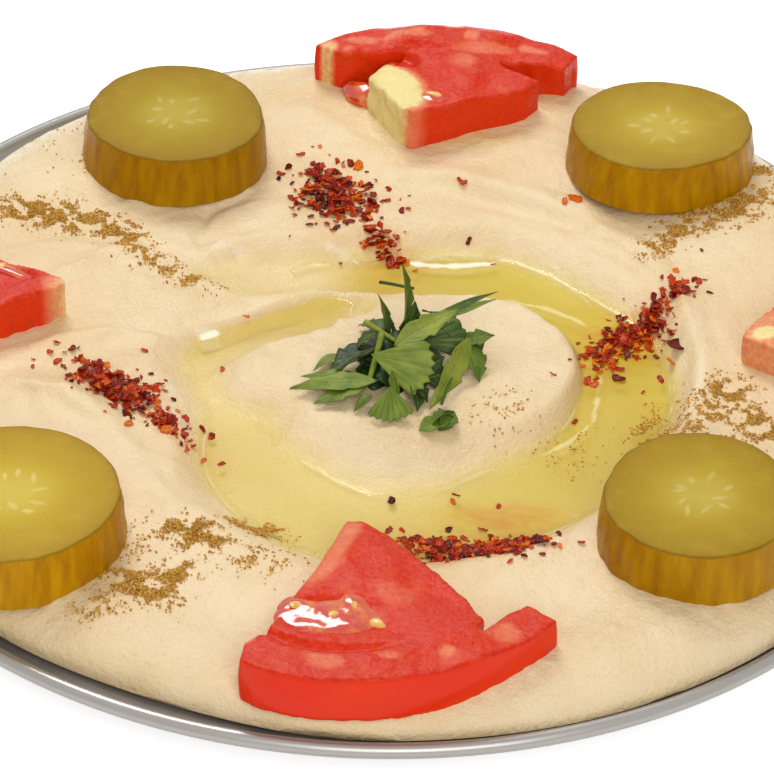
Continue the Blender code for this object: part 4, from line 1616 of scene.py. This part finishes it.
@dataclass(frozen=True)
class Leaf:
    """One leaflet, from its foot to its tip, in mm."""

    foot: Place
    tip: Place
    width: float
    roll: float
    kind: LeafKind = LeafKind.BLADE
    tone: float = 0.6
    teeth: int = 3
    arch: float = 0.12
    fold: float = 0.25
    fullness: float = 1.08
    apart: float = 0.01
    thickness: float = 0.14
    along: int = 22
    across: int = 14

    def profile(self, u: Array, v: Array) -> tuple[Array, Array]:
        """Works out the leaf's outline.

        Args:
            u: 0 at the foot to 1 at the tip.
            v: -1 at one edge to 1 at the other.

        Returns:
            How far along and how far across each place is, as shares of length and half width.
        """
        saw = (u * self.teeth) % 1
        if self.kind is LeafKind.BLADE:
            swell = np.sin(np.pi * np.clip(u, 0, 1) ** 0.85) ** 1.05 * 1.08
            notch = 1 - 0.34 * saw * smoothstep((u - 0.2) / 0.2) * smoothstep((1 - u) / 0.12)
            return u, v * (swell * notch + 0.05 * (1 - u))
        jag = np.abs(((v + 1) * (self.teeth + 0.5)) % 1 - 0.5) * 2
        reach = (1 - 0.10 * np.abs(v) ** 1.5) * (1 - 0.07 * jag * smoothstep((u - 0.5) / 0.5))
        return u * reach * np.cos(v * 0.55), u * reach * v * (1.1 - 0.1 * u)

    def build(self, name: str) -> Part:
        """Makes the leaf's mesh, called name, with each vertex's vein and tone."""
        bm = bmesh.new()
        bmesh.ops.create_grid(bm, x_segments=self.along, y_segments=self.across, size=0.5)
        bmesh.ops.solidify(bm, geom=bm.faces[:], thickness=self.apart)
        mesh = mesh_from(bm, name)
        grid = corners_of(mesh)
        u, v = np.clip(grid[:, 0] + 0.5, 0, 1), np.clip(grid[:, 1] * 2, -1, 1)
        foot, tip = Vector(self.foot), Vector(self.tip)
        length = (tip - foot).length
        onward = (tip - foot).normalized()
        side = onward.cross(Vector((0, 0, 1))).normalized()
        side = Matrix.Rotation(math.radians(self.roll), 3, onward) @ side
        normal = side.cross(onward)
        along, across = self.profile(u, v)
        across = across * self.fullness
        seed = int(abs(self.foot[0] * 31 + self.tip[1] * 17)) + 3
        ripple = waves(u * length, v * self.width, 8, seed) * 0.16
        lift = self.arch * length * 4 * u * (1 - u) * 0.5 + self.fold * np.abs(across) * self.width / 2
        is_under = grid[:, 2] < -0.4 * self.apart
        lift = lift + ripple * np.minimum(1, u * 3) + np.where(is_under, -self.thickness, 0.0)
        steps = ((onward, along * length), (side, across * self.width / 2), (normal, lift))
        parts = [np.array(axis)[None] * value[:, None] for axis, value in steps]
        put_places(mesh, np.array(foot)[None] + sum(parts))
        middle = np.exp(-(v / 0.07) ** 2)
        ribs = np.exp(-(((u * 5 - np.abs(v) * 1.6) % 1 - 0.5) / 0.1) ** 2) * 0.6
        if self.kind is LeafKind.FAN:
            between = (v + 1) * (self.teeth + 0.5) % 1 - 0.5
            ribs = np.exp(-(between / 0.12) ** 2) * smoothstep(u * 2) * 0.7
        vein = np.maximum(middle, ribs * smoothstep(u * 4))
        tone = np.clip(self.tone + waves(u * length, v * self.width, 7, seed + 1) * 0.12, 0, 1)
        return mesh, {"vein": vein, "tone": tone}


def merged(parts: Sequence[Part], name: str) -> bpy.types.Mesh:
    """Joins meshes that carry numbers at each vertex.

    Args:
        parts: the meshes and their numbers. The meshes are used up.
        name: the joined mesh's name.

    Returns:
        The joined mesh, with the numbers stored on it.
    """
    bm = bmesh.new()
    for mesh, _ in parts:
        bm.from_mesh(mesh)
        bpy.data.meshes.remove(mesh)
    joined_mesh = mesh_from(bm, name)
    for label in parts[0][1]:
        store(joined_mesh, label, np.concatenate([numbers[label] for _, numbers in parts]))
    return joined_mesh


@dataclass(frozen=True)
class Stem:
    """A thin stalk from one place to another, in mm."""

    start: Place
    end: Place
    radius: float
    tone: float
    vein: float = 0.15

    def build(self, name: str) -> Part:
        """Makes the stalk's mesh, called name, with each vertex's vein and tone."""
        start, end = Vector(self.start), Vector(self.end)
        bm = bmesh.new()
        bmesh.ops.create_cone(bm, cap_ends=True, segments=10, radius1=self.radius,
                              radius2=self.radius * 0.8, depth=(end - start).length)
        sides = [edge for edge in bm.edges if abs(edge.verts[0].co.z - edge.verts[1].co.z) > 0.01]
        bmesh.ops.subdivide_edges(bm, edges=sides, cuts=8)
        turn = (end - start).to_track_quat("Z", "Y").to_matrix().to_4x4()
        placing = Matrix.Translation((start + end) / 2) @ turn
        bmesh.ops.transform(bm, matrix=placing, verts=bm.verts[:])
        mesh = mesh_from(bm, name)
        places = corners_of(mesh)
        places[:, 2] += waves(places[:, 0], places[:, 1], 9, 41) * 0.3
        put_places(mesh, places)
        numbers = {"vein": self.vein, "tone": self.tone}
        return mesh, {label: np.full(len(places), number) for label, number in numbers.items()}


FAN = LeafKind.FAN
# Each leaf's tone is partly its own colour and partly painted shade: leaves lying low under others get
# low, dark tones.
LEAVES = (
    Leaf((3.6, -1, 21), (4, 1.5, 38), 4.6, 84, tone=0.62, teeth=4, fold=0.35),
    Leaf((1.6, 0, 22), (-0.6, 1.8, 30.5), 2.4, 80, tone=0.55, teeth=2),
    Leaf((4, -2.5, 22.5), (6.6, 0.5, 30), 5.0, 78, tone=0.4, teeth=3),
    Leaf((2.4, -2, 21.5), (1.4, 0.6, 27), 4.6, 76, tone=0.34, teeth=3),
    Leaf((2.8, -9.4, 26.6), (15.2, -2.2, 30.5), 4.4, 24, tone=0.92, teeth=4, arch=0.06),
    Leaf((9.6, -3.2, 28.4), (22.4, 1.2, 32.4), 1.5, 30, tone=0.5, teeth=1, arch=0.10),
    Leaf((13.5, -1.0, 27.8), (22.0, 2.8, 29.4), 1.5, 10, tone=0.85, teeth=1, arch=0.04),
    Leaf((-1.6, -14.4, 28.2), (10.6, -16.6, 25.8), 12.0, 40, FAN, 0.8, 3, 0.03, 0.03),
    Leaf((2.6, -17.0, 26.4), (4.2, -21.4, 22.6), 2.4, 60, tone=0.72, teeth=2),
    Leaf((-0.4, -16.6, 23.6), (-16.8, -16.2, 20.9), 4.6, -6, tone=0.8, teeth=3, arch=0.08, fold=0.1),
    Leaf((-2.0, -17.2, 23.0), (-12.2, -20.6, 20.8), 4.0, -4, tone=0.76, teeth=2, arch=0.08, fold=0.1),
    Leaf((-3.0, -15.8, 23.0), (-14.8, -12.6, 21.2), 4.0, 0, tone=0.78, teeth=2, arch=0.08, fold=0.1),
    Leaf((0.2, -5.2, 26.8), (-4.6, -7.4, 23.6), 3.6, 20, tone=0.35, teeth=3, arch=0.25),
    Leaf((-0.6, -6.8, 24.6), (-9.6, -13.0, 21.4), 7.0, 18, tone=0.08, teeth=4, arch=0.16, fold=0.2),
    Leaf((-1.4, -9.4, 24.8), (-7.6, -12.6, 22.8), 3.8, 40, tone=0.55, teeth=3, arch=0.1),
    Leaf((-7.6, -5.6, 21.4), (-12.6, -10.4, 20.9), 2.8, 10, tone=0.8, teeth=1, arch=0.1),
    Leaf((2.2, -19.6, 24.6), (2.6, -25.8, 20.9), 9.5, 6, FAN, 0.66, 3, 0.1, 0.08),
    Leaf((-1.2, -19.4, 22.4), (-4.6, -22.8, 20.8), 2.2, 8, tone=0.66, teeth=1),
    Leaf((17.2, -7.2, 27.4), (9.8, -21.8, 21.0), 4.6, -56, tone=0.9, teeth=4, arch=0.06, fold=0.2),
    Leaf((16.6, -6.6, 25.4), (19.2, -12.6, 20.9), 5.4, -30, tone=0.62, teeth=3, arch=0.1),
    Leaf((15.2, -5.8, 25.2), (22.0, -4.6, 26.2), 3.0, 34, tone=0.62, teeth=2, arch=0.12),
    Leaf((16.2, -3.8, 24.6), (19.4, -5.2, 21.4), 5.0, 30, tone=0.25, teeth=2, arch=0.2),
    Leaf((7.8, -7.6, 26.2), (17.2, -6.2, 26.4), 8.0, 46, FAN, 0.34, 4, 0.12, 0.1),
    Leaf((14.6, -6.6, 26.0), (10.4, -0.8, 26.6), 5.4, 30, tone=0.36, teeth=3, arch=0.14),
    Leaf((15.6, -0.4, 24.4), (8.0, 5.8, 24.0), 4.6, 28, tone=0.42, teeth=3, arch=0.1),
    Leaf((6.6, -13.4, 22.6), (12.4, -10.4, 25.2), 5.0, 50, tone=0.3, teeth=3, arch=0.15),
    Leaf((6.4, -15.8, 23.6), (7.4, -22.6, 21.0), 3.4, -40, tone=0.22, teeth=3, arch=0.15),
    Leaf((8.6, -15.6, 23.4), (13.6, -14.0, 24.4), 4.8, 46, tone=0.12, teeth=3, arch=0.1),
    Leaf((4.4, -14.6, 22.6), (9.4, -20.2, 21.6), 5.0, -20, tone=0.1, teeth=3, arch=0.2),
    Leaf((0.6, -12.6, 22.6), (-3.2, -16.4, 21.4), 5.0, 10, tone=0.14, teeth=3, arch=0.2),
    Leaf((4.2, -8.6, 23.0), (2.6, -14.6, 23.0), 5.6, 10, tone=0.3, teeth=3, arch=0.2),
    Leaf((8.0, -2.8, 22.6), (13.2, 3.2, 21.6), 5.2, 10, tone=0.3, teeth=3, arch=0.2),
    Leaf((2.0, 0.4, 22.2), (-4.2, 4.0, 21.4), 5.0, 10, tone=0.38, teeth=3, arch=0.2),
)
SCRAP_LEAVES = (
    Leaf((7.9, -27.4, 20.3), (14.8, -23.6, 20.9), 3.6, 14, tone=0.8, teeth=2, arch=0.16, fold=0.4),
    Leaf((10.2, -26.2, 20.6), (14.8, -24.6, 21.2), 3.6, -26, tone=0.5, teeth=2, arch=0.4, fold=0.6),
    Leaf((11.6, -27.4, 20.4), (14.4, -22.6, 21.4), 3.0, 36, tone=0.36, teeth=2, arch=0.4, fold=0.5),
)
STEMS = (
    Stem((0.4, -8.0, 28.4), (-1.8, -16.0, 22.4), 0.62, 0.88),
    Stem((-3.0, -3.8, 28.2), (3.4, -7.2, 25.6), 0.5, 1.0),
    Stem((-0.4, 19.2, 20.6), (6.4, 17.5, 20.8), 0.34, 0.25),
    Stem((12.0, -20.6, 21.4), (16.8, -6.2, 27.4), 0.3, 0.5),
    Stem((4.0, -6.0, 21.6), (9.0, -9.0, 27.0), 0.45, 0.7),
)


@dataclass
class Parsley:
    """The chopped parsley in the middle: leaves and stalks over a small core drawn near-black as painted
    shade.
    """

    core: Place = (3.6, -7.6, 21.2)
    core_size: Place = (7.6, 8.4, 4.2)
    core_tone: float = 0.05

    def core_part(self) -> Part:
        """Returns the leaf mass under the leaves, drawn near-black as painted shade inside the heap."""
        bm = bmesh.new()
        bmesh.ops.create_icosphere(bm, subdivisions=5, radius=1.0)
        mesh = mesh_from(bm, "parsley_core")
        ball = corners_of(mesh)
        rough = 1 + waves(ball[:, 0] * 8 + ball[:, 2] * 5, ball[:, 1] * 8, 4, 51) * 0.16
        put_places(mesh, ball * np.array(self.core_size) * rough[:, None] + np.array(self.core))
        return mesh, {"vein": np.zeros(len(ball)), "tone": np.full(len(ball), self.core_tone)}

    def build(self, material: bpy.types.Material) -> bpy.types.Object:
        """Makes the bunch.

        Args:
            material: the leaves' finish.

        Returns:
            The finished object.
        """
        parts = [self.core_part()]
        parts += [leaf.build(f"leaf_{place}") for place, leaf in enumerate(LEAVES)]
        parts += [stem.build(f"stem_{place}") for place, stem in enumerate(STEMS)]
        mesh = merged(parts, "parsley")
        return Piece("parsley_bunch", "parsley", ("parsley_heap",), material).finish(mesh)

    def scrap(self, material: bpy.types.Material) -> bpy.types.Object:
        """Makes the curled scrap of leaf in front and returns its object."""
        parts = [leaf.build(f"scrap_{place}") for place, leaf in enumerate(SCRAP_LEAVES)]
        mesh = merged(parts, "scrap")
        return Piece("parsley_curl", "parsley", ("parsley_scrap",), material).finish(mesh)


@dataclass
class Sprinkle:
    """What is scattered over the hummus."""

    relief: Relief
    oil_level: float = 15.9
    chip_kinds: int = 6
    most_out: float = 101

    def ground(self, x: Array, y: Array) -> Array:
        """Returns the height of the hummus, or of the oil where it covers the hummus."""
        return np.maximum(self.relief.height(x, y), self.oil_level)

    def chip(self, kind: int) -> bmesh.types.BMesh:
        """Makes a thin curled flake about 2 mm long.

        Args:
            kind: which of the flakes to make.

        Returns:
            The flake.
        """
        random = np.random.default_rng(60 + kind)
        bm = bmesh.new()
        bmesh.ops.create_grid(bm, x_segments=4, y_segments=3, size=1.0)
        curl, twist = random.uniform(0.15, 0.55), random.uniform(-0.3, 0.3)
        for vertex in bm.verts:
            x, y = vertex.co.x, vertex.co.y * random.uniform(0.45, 0.75)
            round_off = 1 - 0.35 * abs(x) ** 3
            x, y = x + random.uniform(-0.12, 0.12), y * round_off + random.uniform(-0.09, 0.09)
            z = curl * (y * y + 0.3 * x * x) + twist * x * y + random.uniform(-0.06, 0.06)
            vertex.co = (x, y, z)
        bmesh.ops.solidify(bm, geom=bm.faces[:], thickness=0.16)
        return bm

    def chilli(self) -> bpy.types.Object:
        """Makes the chilli flakes and returns their object."""
        random = np.random.default_rng(71)
        x, y, near, pile = [], [], [], []
        for heap in CHILLI_HEAPS:
            some_x, some_y, some_near = heap.scatter(random, 2.2)
            x.append(some_x)
            y.append(some_y)
            near.append(some_near)
            pile.append(heap.pile * some_near * random.uniform(0, 1.6, len(some_x)))
        x, y, near, pile = (np.concatenate(values) for values in (x, y, near, pile))
        size = random.uniform(0.3, 0.95, len(x)) * random.uniform(0.5, 1.5, len(x)) + near * 0.25
        lone = np.array(CHILLI_SINGLES)
        x, y = np.concatenate([x, lone[:, 0]]), np.concatenate([y, lone[:, 1]])
        pile = np.concatenate([pile, np.zeros(len(lone))])
        size = np.concatenate([size, lone[:, 2] / 2])
        tone = random.beta(1.7, 1.6, len(x))
        tone[-1] = 0.0
        z = self.ground(x, y) + 0.12 + pile + size * 0.12
        where = np.stack([x, y, z], axis=1)
        parts = []
        kinds = random.integers(0, self.chip_kinds, len(x))
        tilt, heading = np.abs(random.normal(0, 0.45, len(x))), random.uniform(0, TAU, len(x))
        scale = size[:, None] * random.uniform(0.7, 1.2, (len(x), 3))
        for kind in range(self.chip_kinds):
            mine = kinds == kind
            turns = turned_places(where[mine], tilt[mine], heading[mine], scale[mine])
            mesh = joined(self.chip(kind), f"chips_{kind}", turns, tone[mine])
            per_chip = len(mesh.vertices) // mine.sum()
            parts.append((mesh, {"tone": np.repeat(tone[mine], per_chip)}))
        mesh = merged(parts, "chilli")
        return Piece("chilli_flakes", "chilli", (), ChilliFinish().material()).finish(mesh)

    def cumin(self) -> bpy.types.Object:
        """Makes the ground cumin and returns its object."""
        random = np.random.default_rng(83)
        x, y, pile = [], [], []
        for heap in CUMIN_HEAPS:
            some_x, some_y, near = heap.scatter(random, 3.4)
            clump = clumps(some_x, some_y)
            kept = random.uniform(0, 1, len(some_x)) < 0.03 + 0.97 * clump
            x.append(some_x[kept])
            y.append(some_y[kept])
            pile.append((heap.pile * near * clump * random.uniform(0, 1.0, len(some_x)))[kept])
        x, y, pile = (np.concatenate(values) for values in (x, y, pile))
        inside = np.hypot(x, y) < self.most_out
        x, y, pile = x[inside], y[inside], pile[inside]
        size = random.uniform(0.09, 0.24, len(x))
        z = self.ground(x, y) + pile + size * 0.3
        tilt, heading = random.uniform(0, 1.4, len(x)), random.uniform(0, TAU, len(x))
        scale = size[:, None] * random.uniform(0.7, 1.5, (len(x), 3))
        turns = turned_places(np.stack([x, y, z], axis=1), tilt, heading, scale)
        bm = bmesh.new()
        bmesh.ops.create_uvsphere(bm, u_segments=4, v_segments=2, radius=1.2)
        for vertex in bm.verts:
            vertex.co *= random.uniform(0.75, 1.15)
        mesh = joined(bm, "cumin", turns, random.beta(2.2, 1.8, len(x)))
        return Piece("cumin_powder", "cumin", (), CuminFinish().material()).finish(mesh, smooth=False)


PICKLES = (
    PickleSlice("back_left", (-42, 62, 30), 18.0, 10.4, -2, 1, 0.82),
    PickleSlice("back_right", (55, 62, 30.2), 18.2, 9.8, -5, 2, 0.92),
    PickleSlice("front_right", (59.5, -57, 30), 18.2, 11.0, 1, 3, 0.88),
    PickleSlice("front_left", (-66, -61.5, 30), 19.3, 11.2, 3, 4, 1.05),
)

QUARTER: Line = ((21, 25), (0.8, 1.6), (0, -0.4), (1.2, -1.8), (25, -22))
LEFT_CUT: Line = ((24, 15.8), (12.1, 8.6), (3.2, 2.9), (0.2, -0.4), (1.6, -2.6), (27, -12.5))
FRONT_CUT: Line = (
    (28, 37.2), (23.6, 31.8), (25.7, 28.8), (33.3, 22.6), (28, 24), (22.5, 21), (15.6, 15.8), (7, 9.3),
    (0.4, 1.4), (0.5, -1.2), (15, -6.6), (33, -15), (36, -18.5), (41, -19.3))
BACK_CUT: Line = (
    (23.5, 19.3), (20.5, 14.2), (22.4, 0), (17, 5), (12.5, 8.4), (1, 1), (0, -0.6), (3.2, -8.8),
    (9, -23.6), (12.5, -26.4), (15.5, -22), (19.8, -16.5), (17, -31.5), (22, -34))
TOMATOES = (
    TomatoPiece(
        "tomato_wedge_front", "tomato_front", (-4, -60), -90, 15.2, 24.8, 45.3, FRONT_CUT, 101,
        9.3, 1.1, 12,
        hollows=(Patch(28, -3.5, 10.5, 5.0, 90, 1.1),),
        swells=(Patch(14, 3, 10, 7, 20, 0.7), Patch(8, -1.5, 6, 2.2, -20, 0.4),
                Patch(30, 17, 8, 6, 60, 0.5)),
        pale=(Patch(11, -4, 11, 3.4, -25, 0.36), Patch(3, 0, 3, 2, 0, 0.2),
              Patch(41, -4, 2.5, 4, 0, 0.3),
              Patch(31.7, 28, 3, 3, 0, 0.3), Patch(22, 8, 5, 3, 60, 0.2)),
        blobs=(Patch(27.6, -3.2, 10.2, 5.6, 90, 1.3, -0.1), Patch(25.4, -8.6, 4.6, 3.6, 70, 1.2, 0.2),
               Patch(22.5, 1.0, 5.0, 3.4, 20, 0.9), Patch(16.6, 2.4, 4.4, 1.4, 20, 0.55, -0.45)),
        seeds=((27.7, -2.3, 100), (29.8, 5.1, 60), (24.5, 0.5, 20), (25, -9.5, 120))),
    TomatoPiece(
        "tomato_wedge_back", "tomato_back", (4.5, 65.5), 90, 19.6, 29.4, 32, BACK_CUT, 111, 8.0, 0.0, 60,
        hollows=(Patch(19, 2, 2.5, 4, 0, 1.4), Patch(6.5, -5.0, 3.6, 1.8, 60, 0.5)),
        swells=(Patch(27, -6, 4, 16, 0, 1.0), Patch(16, -11, 7, 4, 20, 0.8)),
        pale=(Patch(8.5, 3.5, 9.5, 6.5, 28, 1.2), Patch(23, 16.5, 2.4, 2, 0, 0.7),
              Patch(25, 10, 1.6, 4, 0, 0.35), Patch(27, 0, 1.6, 5, 0, 0.35),
              Patch(23, -15, 2, 7, 0, 0.3), Patch(18, -11, 3, 3, 0, 0.25)),
        blobs=(Patch(17.0, 9.2, 4.6, 3.4, 50, 2.6, 5.2), Patch(18.5, 3.0, 3.6, 3.0, 20, 2.4, 1.6),
               Patch(6.0, -4.6, 3.6, 2.2, 60, 1.2, 0.1)),
        seeds=((7, -5, 80),)),
    TomatoPiece(
        "tomato_wedge_left", "tomato_left", (-60.5, 7), 176, 18.3, 27, 36, LEFT_CUT, 121, 7.5, 0.6,
        hollows=(Patch(12, -4.5, 6, 2.0, -25, 1.6), Patch(20, 8, 4, 3, -20, 1.8)),
        swells=(Patch(7, 2.6, 8, 2.4, 30, 0.5),),
        pale=(Patch(-1.5, 0, 6.5, 6, 0, 0.62), Patch(-2.5, -1, 3.5, 5, 0, 0.3),
              Patch(14, -10, 8, 2.6, -40, 0.5)),
        blobs=(Patch(12, -4.2, 5.0, 1.6, -25, 0.8), Patch(20, 8, 3.6, 2.4, -20, 0.9)),
        seeds=((14, -5, 20), (20, 8, -20))),
    TomatoPiece(
        "tomato_wedge_right", "tomato_right", (69.3, -2), 4, 18.2, 26, 34, QUARTER, 131, 7.0, 0.6,
        hollows=(Patch(19, 7, 4, 3, 30, 1.6), Patch(20, -7, 4, 3, -30, 1.6)),
        swells=(Patch(10, 0, 8, 5, 0, 0.6),),
        pale=(Patch(3, 0, 13, 10, 0, 0.58), Patch(4.3, -0.5, 2.6, 2.0, 0, 0.45)),
        blobs=(Patch(19, 7, 3.6, 2.4, 30, 0.8), Patch(20, -7, 3.6, 2.4, -30, 0.8)),
        seeds=((19, 7, 20), (20, -7, -20))),
)


def main() -> None:
    """Builds every piece in order."""
    logging.basicConfig(level=logging.INFO)
    relief = Relief()
    Studio().build()
    Plate().build(SteelFinish())
    Spread(relief).build(HummusFinish())
    OilFilm(relief).build(OilFinish())
    for pickle in PICKLES:
        pickle.build()
    tomato = TomatoFinish().material()
    for wedge in TOMATOES:
        wedge.build(tomato)
    filling = TomatoFilling(TOMATOES)
    filling.jelly()
    filling.seeds()
    leaf = LeafFinish().material()
    Parsley().build(leaf)
    Parsley().scrap(leaf)
    sprinkle = Sprinkle(relief)
    sprinkle.chilli()
    sprinkle.cumin()


if __name__ == "__main__":
    main()
